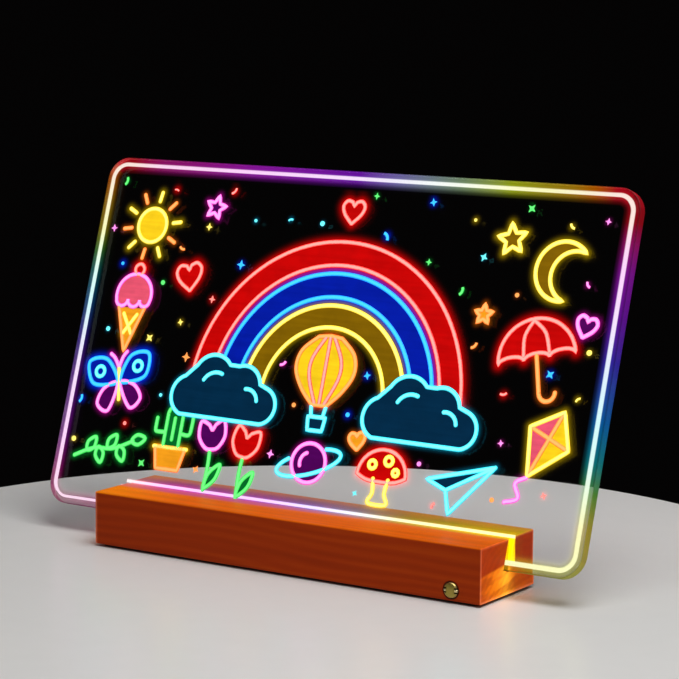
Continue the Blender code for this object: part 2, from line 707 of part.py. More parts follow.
def make_light():
    """Diffuser, channel, strip and lamps, stacked down from the sheet's lower edge."""
    diffuser = box(
        "light_diffuser",
        (CHANNEL_LENGTH, CHANNEL_WIDTH, DIFFUSER_THICKNESS),
        (0, 0, DIFFUSER_TOP - DIFFUSER_THICKNESS / 2),
        parent=LEANING,
    )
    finish(diffuser, "milky_plastic")
    channel = box(
        "led_channel",
        (CHANNEL_LENGTH, CHANNEL_WIDTH, CHANNEL_HEIGHT),
        (0, 0, CHANNEL_BOTTOM + CHANNEL_HEIGHT / 2),
        parent=LEANING,
    )
    trough = box(
        "cut_channel_trough",
        (CHANNEL_LENGTH + 2 * CUT_OVERRUN, CHANNEL_WIDTH - 2 * CHANNEL_WALL, CHANNEL_HEIGHT),
        (0, 0, CHANNEL_BOTTOM + CHANNEL_WALL + CHANNEL_HEIGHT / 2),
        parent=LEANING,
    )
    boolean(channel, [trough])
    finish(channel, "aluminium")
    strip_length = STRIP_END + CHANNEL_LENGTH / 2 - STRIP_END_INSET
    strip = box(
        "led_strip",
        (strip_length, STRIP_WIDTH, STRIP_THICKNESS),
        (STRIP_END - strip_length / 2, 0, STRIP_BOTTOM + STRIP_THICKNESS / 2),
        parent=LEANING,
    )
    finish(strip, "white_board")


def led_mesh():
    """One lamp package with its round window, shared by all of them."""
    package = box("led_package", (LED_SIZE, LED_SIZE, LED_HEIGHT), (0, 0, 0))
    window = rod(
        "led_window",
        LED_LENS_RADIUS,
        LED_HEIGHT / 2 - LED_LENS_DEPTH,
        LED_HEIGHT / 2 + CUT_OVERRUN,
        (0, 0, 0),
    )
    boolean(package, [window])
    return baked_mesh(package, [window])


def make_leds():
    mesh = led_mesh()
    row = CHANNEL_LENGTH - 2 * LED_ROW_END_INSET
    for number in range(LED_COUNT):
        x = -row / 2 + row * number / (LED_COUNT - 1)
        lamp = place(f"led_{number + 1:02d}", mesh, (x, 0, LED_BOTTOM + LED_HEIGHT / 2), parent=LEANING)
        finish(lamp, "white_plastic")


def screw_mesh(name, radius, length, head_radius, head_height, sunk):
    """A screw with its head's top at 0 and its shank down, with a cross recess in the head."""
    if sunk:
        profile = [(0, 0), (head_radius, 0), (radius, -head_height), (radius, -length), (0, -length)]
    else:
        profile = [
            (0, 0),
            (head_radius, 0),
            (head_radius, -head_height),
            (radius, -head_height),
            (radius, -length),
            (0, -length),
        ]
    screw = turned(name, profile, (0, 0, 0))
    reach = head_radius * SCREW_RECESS_LENGTH_SHARE
    recess_height = SCREW_RECESS_DEPTH + CUT_OVERRUN
    centre = (0, 0, CUT_OVERRUN - recess_height / 2)
    slots = [
        box("recess_along", (reach, SCREW_RECESS_WIDTH, recess_height), centre),
        box("recess_across", (SCREW_RECESS_WIDTH, reach, recess_height), centre),
    ]
    boolean(screw, slots)
    return baked_mesh(screw, slots)


def make_clips():
    """Two straps that hold the channel up against the pocket's ceiling, and their four screws."""
    inner = strap_corners()
    outline = inner + list(reversed(offset_line(inner, CLIP_THICKNESS)))
    for side, x in (("left", -CLIP_X), ("right", CLIP_X)):
        strap = plate(f"channel_clip_{side}", [outline], CLIP_WIDTH, (x, 0, 0), FACING_RIGHT)
        holes = []
        for number, (screw_x, screw_y) in enumerate(clip_screw_places(), 1):
            if screw_x != x:
                continue
            holes.append(rod(
                f"cut_clip_{side}_{number}",
                CLIP_SCREW_RADIUS + SEAT_GAP,
                POCKET_CEILING - CLIP_THICKNESS - CUT_OVERRUN,
                POCKET_CEILING + CUT_OVERRUN,
                (screw_x, screw_y, 0),
            ))
        boolean(strap, holes)
        finish(strap, "steel")
    mesh = screw_mesh(
        "clip_screw",
        CLIP_SCREW_RADIUS,
        CLIP_SCREW_LENGTH,
        CLIP_SCREW_HEAD_RADIUS,
        CLIP_SCREW_HEAD_HEIGHT,
        sunk=False,
    )
    head_face = POCKET_CEILING - 2 * SEAT_GAP - CLIP_THICKNESS - CLIP_SCREW_HEAD_HEIGHT
    for number, (x, y) in enumerate(clip_screw_places(), 1):
        screw = place(f"channel_clip_screw_{number}", mesh, (x, y, head_face), (math.pi, 0, 0))
        finish(screw, "steel")


def make_cover():
    """The steel cover, with the bosses that carry the control board, and the screws through it."""
    cover = plate(
        "bottom_cover",
        [rounded_rectangle(
            BASE_LENGTH - 2 * COVER_END_INSET, BASE_DEPTH - 2 * COVER_SIDE_INSET, COVER_CORNER_RADIUS
        )],
        COVER_THICKNESS,
        (0, 0, BLOCK_BOTTOM + COVER_THICKNESS / 2),
    )
    bosses = []
    holes = []
    for number, (x, y) in enumerate(board_screw_places(), 1):
        bosses.append(rod(
            f"add_boss_{number}", BOSS_RADIUS, COVER_TOP - COVER_THICKNESS / 2, BOSS_TOP, (x, y, 0)
        ))
        holes.append(rod(
            f"cut_boss_{number}",
            BOARD_SCREW_RADIUS + SEAT_GAP,
            BLOCK_BOTTOM - CUT_OVERRUN,
            BOSS_TOP + CUT_OVERRUN,
            (x, y, 0),
        ))
    sink_slope = (COVER_SCREW_HEAD_RADIUS - COVER_SCREW_RADIUS) / COVER_SCREW_HEAD_HEIGHT
    for number, (x, y) in enumerate(cover_screw_places(), 1):
        hole_radius = COVER_SCREW_RADIUS + SEAT_GAP
        mouth_radius = COVER_SCREW_HEAD_RADIUS + SEAT_GAP + sink_slope * CUT_OVERRUN
        profile = [
            (0, COVER_THICKNESS + CUT_OVERRUN),
            (hole_radius, COVER_THICKNESS + CUT_OVERRUN),
            (hole_radius, COVER_SCREW_HEAD_HEIGHT),
            (mouth_radius, -CUT_OVERRUN),
            (0, -CUT_OVERRUN),
        ]
        holes.append(turned(f"cut_cover_hole_{number}", profile, (x, y, BLOCK_BOTTOM)))
    boolean(cover, bosses, "UNION")
    boolean(cover, holes)
    finish(cover, "steel")
    mesh = screw_mesh(
        "cover_screw",
        COVER_SCREW_RADIUS,
        COVER_SCREW_LENGTH,
        COVER_SCREW_HEAD_RADIUS,
        COVER_SCREW_HEAD_HEIGHT,
        sunk=True,
    )
    for number, (x, y) in enumerate(cover_screw_places(), 1):
        screw = place(f"cover_screw_{number}", mesh, (x, y, BLOCK_BOTTOM), (math.pi, 0, 0))
        finish(screw, "steel")


def make_pad():
    pad = plate(
        "base_pad",
        [rounded_rectangle(
            BASE_LENGTH - 2 * PAD_EDGE_INSET, BASE_DEPTH - 2 * PAD_EDGE_INSET, PAD_CORNER_RADIUS
        )],
        PAD_THICKNESS,
        (0, 0, PAD_THICKNESS / 2),
    )
    finish(pad, "foam")


def make_button():
    """Cap with its stem, the bush that guides it and the open clip that keeps it in."""
    front = -BUTTON_PROUD
    back = front + BUTTON_THICKNESS
    profile = [
        (0, STEM_END),
        (STEM_TIP_RADIUS, STEM_END),
        (STEM_TIP_RADIUS, NECK_BACK),
        (STEM_NECK_RADIUS, NECK_BACK),
        (STEM_NECK_RADIUS, NECK_FRONT),
        (STEM_RADIUS, NECK_FRONT),
        (STEM_RADIUS, back),
        (BUTTON_RADIUS, back),
        (BUTTON_RADIUS, front + BUTTON_EDGE_ROUND),
        (BUTTON_RADIUS - BUTTON_EDGE_ROUND, front),
        (0, front),
    ]
    cap = turned("button_cap", profile, (0, 0, 0), parent=BUTTON_AXIS, steps=FINE_STEPS)
    notch_height = BUTTON_NOTCH_DEPTH + CUT_OVERRUN
    notch_size = (BUTTON_NOTCH_LENGTH + CUT_OVERRUN, BUTTON_NOTCH_WIDTH, notch_height)
    notch_x = BUTTON_RADIUS - BUTTON_NOTCH_LENGTH + notch_size[0] / 2
    notch_z = front + BUTTON_NOTCH_DEPTH - notch_height / 2
    boolean(cap, [
        box(
            f"cut_notch_{side:+d}{row:+d}",
            notch_size,
            (side * notch_x, row * BUTTON_NOTCH_SPACING / 2, notch_z),
            parent=BUTTON_AXIS,
        )
        for side in (-1, 1)
        for row in (-1, 1)
    ])
    finish(cap, "brass")

    bore = STEM_RADIUS + STEM_CLEARANCE
    profile = [
        (bore, BUSH_BACK),
        (BUSH_FLANGE_RADIUS, BUSH_BACK),
        (BUSH_FLANGE_RADIUS, BUSH_FLANGE_FRONT),
        (BUSH_RADIUS, BUSH_FLANGE_FRONT),
        (BUSH_RADIUS, COUNTERBORE_DEPTH),
        (bore, COUNTERBORE_DEPTH),
    ]
    bush = turned("button_bush", profile, (0, 0, 0), parent=BUTTON_AXIS, steps=FINE_STEPS)
    finish(bush, "brass")

    hold = STEM_NECK_RADIUS + SEAT_GAP
    profile = [
        (hold, RETAINER_FRONT + RETAINER_THICKNESS),
        (RETAINER_RADIUS, RETAINER_FRONT + RETAINER_THICKNESS),
        (RETAINER_RADIUS, RETAINER_FRONT),
        (hold, RETAINER_FRONT),
    ]
    clip = turned("button_clip", profile, (0, 0, 0), parent=BUTTON_AXIS)
    mouth = box(
        "cut_clip_mouth",
        (RETAINER_RADIUS + CUT_OVERRUN, RETAINER_MOUTH, RETAINER_THICKNESS + 2 * CUT_OVERRUN),
        ((RETAINER_RADIUS + CUT_OVERRUN) / 2, 0, RETAINER_FRONT + RETAINER_THICKNESS / 2),
        parent=BUTTON_AXIS,
    )
    boolean(clip, [mouth])
    finish(clip, "steel")


def make_switch():
    """The push switch on the board's front edge and the plunger that the button's stem presses."""
    body = box(
        "switch_body",
        (SWITCH_WIDTH, SWITCH_HEIGHT, SWITCH_DEPTH),
        (0, 0, SWITCH_FRONT + SWITCH_DEPTH / 2),
        parent=BUTTON_AXIS,
    )
    bevel(body, PART_EDGE_BEVEL)
    bore_depth = PLUNGER_ENGAGEMENT + BUTTON_TRAVEL + PLUNGER_BORE_SPARE
    bore = rod(
        "cut_plunger_bore",
        PLUNGER_RADIUS + STEM_CLEARANCE,
        SWITCH_FRONT - CUT_OVERRUN,
        SWITCH_FRONT + bore_depth,
        (0, 0, 0),
        parent=BUTTON_AXIS,
    )
    boolean(body, [bore])
    finish(body, "black_plastic")
    plunger = rod(
        "switch_plunger",
        PLUNGER_RADIUS,
        PLUNGER_FRONT,
        SWITCH_FRONT + PLUNGER_ENGAGEMENT,
        (0, 0, 0),
        parent=BUTTON_AXIS,
    )
    finish(plunger, "white_plastic")


def make_board():
    """The control board, its four screws and the chips, coil and capacitor on it."""
    board = plate(
        "control_board",
        [rounded_rectangle(
            BOARD_LENGTH, BOARD_DEPTH, BOARD_CORNER_RADIUS, steps=BOARD_CORNER_STEPS
        )],
        BOARD_THICKNESS,
        (
            BOARD_LEFT + BOARD_LENGTH / 2,
            (BOARD_FRONT + BOARD_BACK) / 2,
            BOARD_TOP - BOARD_THICKNESS / 2,
        ),
    )
    length = BOARD_SCREW_HEAD_HEIGHT + SEAT_GAP + BOARD_TOP - COVER_TOP + COVER_THICKNESS / 2
    mesh = screw_mesh(
        "board_screw",
        BOARD_SCREW_RADIUS,
        length,
        BOARD_SCREW_HEAD_RADIUS,
        BOARD_SCREW_HEAD_HEIGHT,
        sunk=False,
    )
    head_face = BOARD_TOP + SEAT_GAP + BOARD_SCREW_HEAD_HEIGHT
    holes = []
    for number, (x, y) in enumerate(board_screw_places(), 1):
        holes.append(rod(
            f"cut_board_hole_{number}",
            BOARD_SCREW_RADIUS + SEAT_GAP,
            BOARD_BOTTOM - CUT_OVERRUN,
            BOARD_TOP + CUT_OVERRUN,
            (x, y, 0),
        ))
        finish(place(f"board_screw_{number}", mesh, (x, y, head_face)), "steel")
    boolean(board, holes)
    finish(board, "green_board")

    for name, size, shares, look in (
        ("controller_chip", CONTROLLER_SIZE, CONTROLLER_PLACE_SHARES, "black_plastic"),
        ("charger_chip", CHARGER_SIZE, CHARGER_PLACE_SHARES, "black_plastic"),
        ("inductor", INDUCTOR_SIZE, INDUCTOR_PLACE_SHARES, "ferrite"),
    ):
        chip = box(name, size, board_place(shares, size[2]))
        bevel(chip, PART_EDGE_BEVEL)
        finish(chip, look)
    middle = board_place(CAPACITOR_PLACE_SHARES, CAPACITOR_HEIGHT)
    capacitor = rod(
        "capacitor", CAPACITOR_RADIUS, -CAPACITOR_HEIGHT / 2, CAPACITOR_HEIGHT / 2, middle
    )
    bevel(capacitor, PART_EDGE_BEVEL)
    finish(capacitor, "aluminium")


def make_usb_socket():
    """The charging socket: a folded metal shell, closed at its back, with a tongue in it."""
    outer = rounded_rectangle(USB_WIDTH, USB_HEIGHT, USB_HEIGHT / 2 - USB_WALL)
    inner = rounded_rectangle(
        USB_WIDTH - 2 * USB_WALL, USB_HEIGHT - 2 * USB_WALL, USB_HEIGHT / 2 - 2 * USB_WALL
    )
    shell = plate(
        "usb_shell",
        [outer],
        USB_LENGTH,
        (USB_X, USB_MOUTH - USB_LENGTH / 2, USB_CENTRE_Z),
        FACING_FRONT,
    )
    hollow_length = USB_LENGTH - USB_BACK_WALL + CUT_OVERRUN
    hollow = plate(
        "cut_usb_hollow",
        [inner],
        hollow_length,
        (USB_X, USB_BACK_END + USB_BACK_WALL + hollow_length / 2, USB_CENTRE_Z),
        FACING_FRONT,
    )
    boolean(shell, [hollow])
    finish(shell, "steel")
    tongue_length = USB_LENGTH - USB_BACK_WALL - SEAT_GAP - TONGUE_INSET
    tongue = box(
        "usb_tongue",
        (TONGUE_WIDTH, tongue_length, TONGUE_THICKNESS),
        (USB_X, USB_MOUTH - TONGUE_INSET - tongue_length / 2, USB_CENTRE_Z),
    )
    finish(tongue, "black_plastic")


def make_battery():
    """The flat cell on its foam tape, and the connector that its two wires plug into."""
    cell = box(
        "battery_cell",
        (BATTERY_LENGTH, BATTERY_DEPTH, BATTERY_THICKNESS),
        (BATTERY_X, BATTERY_Y, BATTERY_BOTTOM + BATTERY_THICKNESS / 2),
    )
    bevel(cell, BATTERY_EDGE_RADIUS, BEVEL_SEGMENTS)
    finish(cell, "battery_foil")
    tape = box(
        "battery_tape",
        (BATTERY_LENGTH - 2 * TAPE_INSET, BATTERY_DEPTH - 2 * TAPE_INSET, TAPE_THICKNESS),
        (BATTERY_X, BATTERY_Y, TAPE_BOTTOM + TAPE_THICKNESS / 2),
    )
    finish(tape, "white_foam")

    middle = board_place(CONNECTOR_PLACE_SHARES, CONNECTOR_SIZE[2])
    connector = box("battery_connector", CONNECTOR_SIZE, middle)
    bevel(connector, PART_EDGE_BEVEL)
    mouth_length = CONNECTOR_MOUTH_DEPTH + CUT_OVERRUN
    mouth = box(
        "cut_connector_mouth",
        (mouth_length, CONNECTOR_SIZE[1] - 2 * CONNECTOR_WALL, CONNECTOR_SIZE[2] - 2 * CONNECTOR_WALL),
        (middle.x - CONNECTOR_SIZE[0] / 2 - CUT_OVERRUN + mouth_length / 2, middle.y, middle.z),
    )
    boolean(connector, [mouth])
    finish(connector, "white_plastic")

    wire_end = middle.x - CONNECTOR_SIZE[0] / 2 + CONNECTOR_MOUTH_DEPTH - SEAT_GAP
    cell_z = BATTERY_BOTTOM + BATTERY_THICKNESS / 2
    for name, side in (("red", -1), ("black", 1)):
        y = side * WIRE_PITCH / 2
        start = (BATTERY_RIGHT + SEAT_GAP, BATTERY_Y + y, cell_z)
        end = (wire_end, middle.y + y, middle.z)
        route = eased_route(start, (1, 0, 0), end, (1, 0, 0))
        finish(tube_along(f"battery_wire_{name}", route, WIRE_RADIUS), f"{name}_wire")


def make_led_wires():
    """Three wires from the strip's end down to the control board."""
    wire_start = STRIP_END + SEAT_GAP
    level = STRIP_BOTTOM + STRIP_THICKNESS / 2
    for place_number, (name, look) in enumerate((
        ("led_wire_power", "red_wire"),
        ("led_wire_data", "green_wire"),
        ("led_wire_ground", "white_wire"),
    )):
        start = leaning_point(wire_start, level, (place_number - 1) * WIRE_PITCH)
        end = Vector((wire_start + LED_WIRE_REACH, start.y, BOARD_TOP + SEAT_GAP))
        route = eased_route(start, (1, 0, 0), end, (0, 0, -1))
        finish(tube_along(name, route, WIRE_RADIUS), look)


make_base_block()
make_panel()
make_light()
make_leds()
make_clips()
make_cover()
make_pad()
make_button()
make_switch()
make_board()
make_usb_socket()
make_battery()
make_led_wires()
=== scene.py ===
# %% [markdown]
# # A light-up writing board
#
# A clear sheet leans in a wooden base. Lamps in the base shine into the sheet's lower edge, and the light
# only comes out where the surface is broken: along an engraved line near the edge, and in the marker
# strokes drawn on the front. This notebook dresses the imported model of that board: it keeps every moving
# and fastened part where it is, gives each one its finish, and draws on the sheet.
#
# The first cell loads the imported parts.

# %% Load the parts
import json
import math
import random

import bmesh
import bpy
import numpy as np
from mathutils import Matrix, Vector, kdtree


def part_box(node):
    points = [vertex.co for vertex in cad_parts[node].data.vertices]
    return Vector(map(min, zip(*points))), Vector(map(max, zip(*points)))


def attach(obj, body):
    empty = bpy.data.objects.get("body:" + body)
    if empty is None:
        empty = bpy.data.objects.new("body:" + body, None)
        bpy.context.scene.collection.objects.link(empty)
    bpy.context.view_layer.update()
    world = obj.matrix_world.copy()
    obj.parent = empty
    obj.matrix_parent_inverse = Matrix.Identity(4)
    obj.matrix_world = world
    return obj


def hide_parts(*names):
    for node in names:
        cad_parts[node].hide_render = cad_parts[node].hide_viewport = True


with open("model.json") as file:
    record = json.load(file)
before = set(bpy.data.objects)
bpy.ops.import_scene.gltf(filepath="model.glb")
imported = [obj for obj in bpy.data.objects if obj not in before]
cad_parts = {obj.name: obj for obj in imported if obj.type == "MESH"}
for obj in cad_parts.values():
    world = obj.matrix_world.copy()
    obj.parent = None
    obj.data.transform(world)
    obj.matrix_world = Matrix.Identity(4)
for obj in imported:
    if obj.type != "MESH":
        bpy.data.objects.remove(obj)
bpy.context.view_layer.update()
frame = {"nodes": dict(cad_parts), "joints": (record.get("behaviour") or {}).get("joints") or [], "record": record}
PARTS = frame["nodes"]
MM = 0.001

# %% [markdown]
# The sheet leans, so it is easier to draw on in its own flat coordinates: s to the right, t up the sheet
# and h out of its front face. The joint that lifts the sheet out of its slot runs straight up the sheet,
# so its axis gives the lean, and the sheet's own points give its width, height and thickness.

# %% The sheet's own coordinates
lift = next(joint for joint in frame["joints"] if joint["name"] == "panel_lift")
UP_SHEET = Vector(lift["axis"]).normalized()
OUT_FRONT = Vector((1, 0, 0)).cross(UP_SHEET)


def extent(node, direction):
    """How far a part reaches along a direction, as its lowest and highest value."""
    reach = [point.co.dot(direction) for point in PARTS[node].data.vertices]
    return min(reach), max(reach)


left, right = extent("acrylic_panel", Vector((1, 0, 0)))
foot, head = extent("acrylic_panel", UP_SHEET)
back, front = extent("acrylic_panel", OUT_FRONT)
SHEET_WIDTH = right - left
SHEET_HEIGHT = head - foot
SHEET_THICKNESS = front - back
SHEET_X = (left + right) / 2
ORIGIN = Vector((SHEET_X, 0, 0)) + UP_SHEET * foot + OUT_FRONT * (front + back) / 2
SHEET_PLACE = Matrix.Translation(ORIGIN) @ Matrix((
    (1, UP_SHEET.x, OUT_FRONT.x),
    (0, UP_SHEET.y, OUT_FRONT.y),
    (0, UP_SHEET.z, OUT_FRONT.z),
)).to_4x4()
BLOCK_LOW, BLOCK_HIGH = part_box("base_block")
SLOT_TOP = (BLOCK_HIGH.z - ORIGIN.z) / UP_SHEET.z
SLOT_Y = ORIGIN.y + UP_SHEET.y * SLOT_TOP
print("sheet:", [round(size / MM, 1) for size in (SHEET_WIDTH, SHEET_HEIGHT, SHEET_THICKNESS)])
print("sheet leaves the wood at", round(SLOT_TOP / MM, 1), "mm up its height")

# %% [markdown]
# The camera stands where a person would stand to take the picture: to the right of the board, a little
# above it and well back, with a long lens, so that the sides stay nearly parallel. Its place is given by
# angles round a target point, which are easier to tune than coordinates.

# %% Camera
CAMERA_AZIMUTH = math.radians(32.98)
CAMERA_ELEVATION = math.radians(8.32)
CAMERA_ROLL = math.radians(0.48)
CAMERA_DISTANCE = 1464 * MM
CAMERA_TARGET = Vector((20.5, 0, 133.6)) * MM
# Blender counts lenses and sensors in millimetres.
CAMERA_LENS = 137.4
SENSOR_WIDTH = 36


def make_camera():
    """A camera that looks at the target from the two angles, turned by its roll."""
    level = math.cos(CAMERA_ELEVATION)
    towards = Vector((
        math.sin(CAMERA_AZIMUTH) * level,
        -math.cos(CAMERA_AZIMUTH) * level,
        math.sin(CAMERA_ELEVATION),
    ))
    across = (-towards).cross(Vector((0, 0, 1))).normalized()
    up = across.cross(-towards)
    turn = Matrix.Rotation(CAMERA_ROLL, 3, towards)
    data = bpy.data.cameras.new("camera")
    data.lens = CAMERA_LENS
    data.sensor_width = SENSOR_WIDTH
    camera = bpy.data.objects.new("camera", data)
    axes = Matrix((turn @ across, turn @ up, towards)).transposed()
    camera.matrix_world = Matrix.Translation(CAMERA_TARGET + towards * CAMERA_DISTANCE) @ axes.to_4x4()
    bpy.context.scene.collection.objects.link(camera)
    bpy.context.scene.camera = camera


make_camera()
bpy.context.scene.view_settings.view_transform = "Standard"
print("camera", round(CAMERA_DISTANCE, 3), "m from its target, lens", CAMERA_LENS, "mm")

# %% [markdown]
# Materials are networks of small nodes, and most of them are sums and mixes. The helpers below add one
# node each and return its output, so that a material further on reads like a formula.

# %% Shader helpers
WHITE = (1.0, 1.0, 1.0)
# The Mix node has sockets for every type of value. These are the ones that it uses for colours.
MIX_SHARE, MIX_FIRST, MIX_SECOND, MIX_RESULT = 0, 6, 7, 2


def feed(tree, socket, value):
    """Links a socket to another one, or sets its value."""
    if isinstance(value, bpy.types.NodeSocket):
        tree.links.new(value, socket)
    elif hasattr(value, "__len__") and len(value) == 3 and socket.type == "RGBA":
        socket.default_value = (*value, 1)
    else:
        socket.default_value = value


def node(tree, kind, inputs=None, **settings):
    """Adds a node with its settings, and feeds its inputs by name or number."""
    made = tree.nodes.new(kind)
    for name, value in settings.items():
        setattr(made, name, value)
    for name, value in (inputs or {}).items():
        feed(tree, made.inputs[name], value)
    return made


def maths(tree, operation, first, *others, clamp=False):
    """One operation on a number, or on a row of numbers from the first to the last."""
    total = first
    for other in others or (0.0,):
        made = node(tree, "ShaderNodeMath", {0: total, 1: other}, operation=operation, use_clamp=clamp)
        total = made.outputs[0]
    return total


def between(tree, value, low, high, start=0.0, end=1.0, smooth=True):
    """A value's way from low to high, turned into a way from start to end."""
    made = node(
        tree,
        "ShaderNodeMapRange",
        {"Value": value, "From Min": low, "From Max": high, "To Min": start, "To Max": end},
        interpolation_type="SMOOTHSTEP" if smooth else "LINEAR",
    )
    return made.outputs["Result"]


def fade_at(tree, value, place, fade, strength=1.0):
    """Rises from 0 to a strength near a place. The fade says where both are, counted from the place."""
    nothing, full = fade
    return between(tree, value, place + nothing, place + full, 0.0, strength)


def mix(tree, share, first, second, blend="MIX"):
    """Two colours, mixed by a share of the second."""
    made = node(tree, "ShaderNodeMix", data_type="RGBA", blend_type=blend)
    feed(tree, made.inputs[MIX_SHARE], share)
    feed(tree, made.inputs[MIX_FIRST], first)
    feed(tree, made.inputs[MIX_SECOND], second)
    return made.outputs[MIX_RESULT]


def tinted(tree, colour, strength):
    """A colour times a number."""
    made = node(tree, "ShaderNodeVectorMath", {0: colour}, operation="SCALE")
    feed(tree, made.inputs["Scale"], strength)
    return made.outputs[0]


def added(tree, *colours):
    """The sum of some colours."""
    total = colours[0]
    for colour in colours[1:]:
        made = node(tree, "ShaderNodeVectorMath", {0: total, 1: colour}, operation="ADD")
        total = made.outputs[0]
    return total


def ramp(tree, value, stops):
    """A colour ramp from (position, colour) stops."""
    made = node(tree, "ShaderNodeValToRGB", {"Fac": value})
    elements = made.color_ramp.elements
    while len(elements) < len(stops):
        elements.new(1.0)
    for element, (position, colour) in zip(elements, stops):
        element.position = position
        element.color = (*colour, 1)
    return made.outputs["Color"]


def noise(tree, vector, scale, detail=3.0, roughness=0.55, stretch=(1, 1, 1)):
    """Soft noise, finer along the directions that are stretched."""
    mapping = node(tree, "ShaderNodeMapping", {"Vector": vector, "Scale": stretch})
    made = node(
        tree,
        "ShaderNodeTexNoise",
        {"Vector": mapping.outputs[0], "Scale": scale, "Detail": detail, "Roughness": roughness},
    )
    return made.outputs["Fac"]


def distance_from_axis(tree, **across):
    """How far a place lies from an axis, from its two coordinates across it."""
    flat = node(tree, "ShaderNodeCombineXYZ", across)
    return node(tree, "ShaderNodeVectorMath", {0: flat.outputs[0]}, operation="LENGTH").outputs["Value"]


def object_place(tree):
    """Each point's place in the frame that all parts share."""
    return node(tree, "ShaderNodeTexCoord").outputs["Object"]


def attribute(tree, name):
    """A value that is stored on the mesh under a name."""
    return node(tree, "ShaderNodeAttribute", attribute_name=name)


def bumped(tree, height, strength, distance):
    """The normals of a surface with small heights on it."""
    made = node(tree, "ShaderNodeBump", {"Height": height, "Strength": strength, "Distance": distance})
    return made.outputs[0]


def new_material(name):
    """An empty material with its shader, and the tree that they are in."""
    material = bpy.data.materials.new(name)
    material.use_nodes = True
    return material, material.node_tree, material.node_tree.nodes["Principled BSDF"]


def shade(tree, shader, values):
    """Feeds several of a shader's inputs, from other nodes or with plain values."""
    for name, value in values.items():
        feed(tree, shader.inputs[name], value)


def dress(node_name, material):
    """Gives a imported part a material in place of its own."""
    slots = PARTS[node_name].data.materials
    slots.clear()
    slots.append(material)


print("shader helpers ready")

# %% [markdown]
# A board like this is shown in a dark room, because its own light is what one looks at. The table top is
# plain, pale and round, so that it ends behind the board from every side, and the lines on the sheet
# stand out against the dark. The studio light itself is soft and white: one wide lamp above and a
# little to the right, and a faint even light from all round. What the camera, a mirror or clear plastic
# sees beyond the table is dark, which the Light Path node tells apart from the light on the object.

# %% Table top
FLOOR_RADIUS = 300 * MM
FLOOR_THICKNESS = 8 * MM
FLOOR_STEPS = 128
FLOOR_EDGE = 2 * MM
FLOOR_EDGE_STEPS = 4
FLOOR_COLOURS = ((0.74, 0.73, 0.71), (0.77, 0.76, 0.74))
FLOOR_GRAIN = 60.0
FLOOR_ROUGHNESS = 0.30


def make_floor():
    """A round plate with a soft edge, whose upper face is at height zero."""
    mesh = bpy.data.meshes.new("floor")
    shape = bmesh.new()
    bmesh.ops.create_cone(
        shape, cap_ends=True, segments=FLOOR_STEPS, radius1=FLOOR_RADIUS, radius2=FLOOR_RADIUS,
        depth=FLOOR_THICKNESS,
    )
    bmesh.ops.translate(shape, verts=shape.verts, vec=(0, 0, -FLOOR_THICKNESS / 2))
    shape.to_mesh(mesh)
    shape.free()
    floor = bpy.data.objects.new("floor", mesh)
    bpy.context.scene.collection.objects.link(floor)
    edge = floor.modifiers.new("rounded_edge", "BEVEL")
    edge.width = FLOOR_EDGE
    edge.segments = FLOOR_EDGE_STEPS
    material, tree, shader = new_material("pale floor")
    grain = noise(tree, object_place(tree), FLOOR_GRAIN)
    shade(tree, shader, {"Base Color": mix(tree, grain, *FLOOR_COLOURS), "Roughness": FLOOR_ROUGHNESS})
    mesh.materials.append(material)


make_floor()
print("table top", 2 * FLOOR_RADIUS, "m wide")

# %% Studio light
DARK_ROOM = (0.0013, 0.0011, 0.0011)
EVEN_LIGHT = 0.16
LAMP_PLACE = Vector((0.42, -0.18, 1.25))
LAMP_SIZE = 0.9
LAMP_POWER = 16.0


def make_lamp():
    """One wide, soft lamp that points at the board."""
    data = bpy.data.lights.new("softbox", "AREA")
    data.shape = "SQUARE"
    data.size = LAMP_SIZE
    data.energy = LAMP_POWER
    lamp = bpy.data.objects.new("softbox", data)
    lamp.location = LAMP_PLACE
    lamp.rotation_euler = (-LAMP_PLACE).to_track_quat("-Z", "Y").to_euler()
    bpy.context.scene.collection.objects.link(lamp)


def make_room():
    """A world that lights the object evenly, but is dark where it is seen."""
    world = bpy.data.worlds.new("dark room")
    bpy.context.scene.world = world
    world.use_nodes = True
    tree = world.node_tree
    tree.nodes.clear()
    path = node(tree, "ShaderNodeLightPath")
    seen = maths(tree, "ADD", path.outputs["Is Camera Ray"], path.outputs["Is Glossy Ray"])
    seen = maths(tree, "ADD", seen, path.outputs["Is Transmission Ray"], clamp=True)
    light = node(tree, "ShaderNodeBackground", {"Color": WHITE, "Strength": EVEN_LIGHT})
    dark = node(tree, "ShaderNodeBackground", {"Color": DARK_ROOM, "Strength": 1.0})
    choice = node(tree, "ShaderNodeMixShader", {0: seen, 1: light.outputs[0], 2: dark.outputs[0]})
    node(tree, "ShaderNodeOutputWorld", {"Surface": choice.outputs[0]})


make_lamp()
make_room()
print("lamp at", tuple(round(c, 2) for c in LAMP_PLACE), "m, even light", EVEN_LIGHT)

# %% [markdown]
# The lamps run through the colours of the rainbow from the left to the right of the slot. Both the wood
# beside the slot and the sheet above it are tinted by them, so the colours are one shader group: it takes
# the place along the base and gives the colour of the light there.

# %% Colour of the light along the slot
SLOT_LIGHT = (
    (0.00, (0.80, 0.28, 0.30)),
    (0.10, (0.55, 0.06, 0.48)),
    (0.32, (0.38, 0.07, 0.55)),
    (0.50, (0.22, 0.20, 0.62)),
    (0.60, (0.28, 0.36, 0.50)),
    (0.72, (0.42, 0.44, 0.06)),
    (0.86, (0.70, 0.60, 0.02)),
    (1.00, (0.90, 0.76, 0.00)),
)


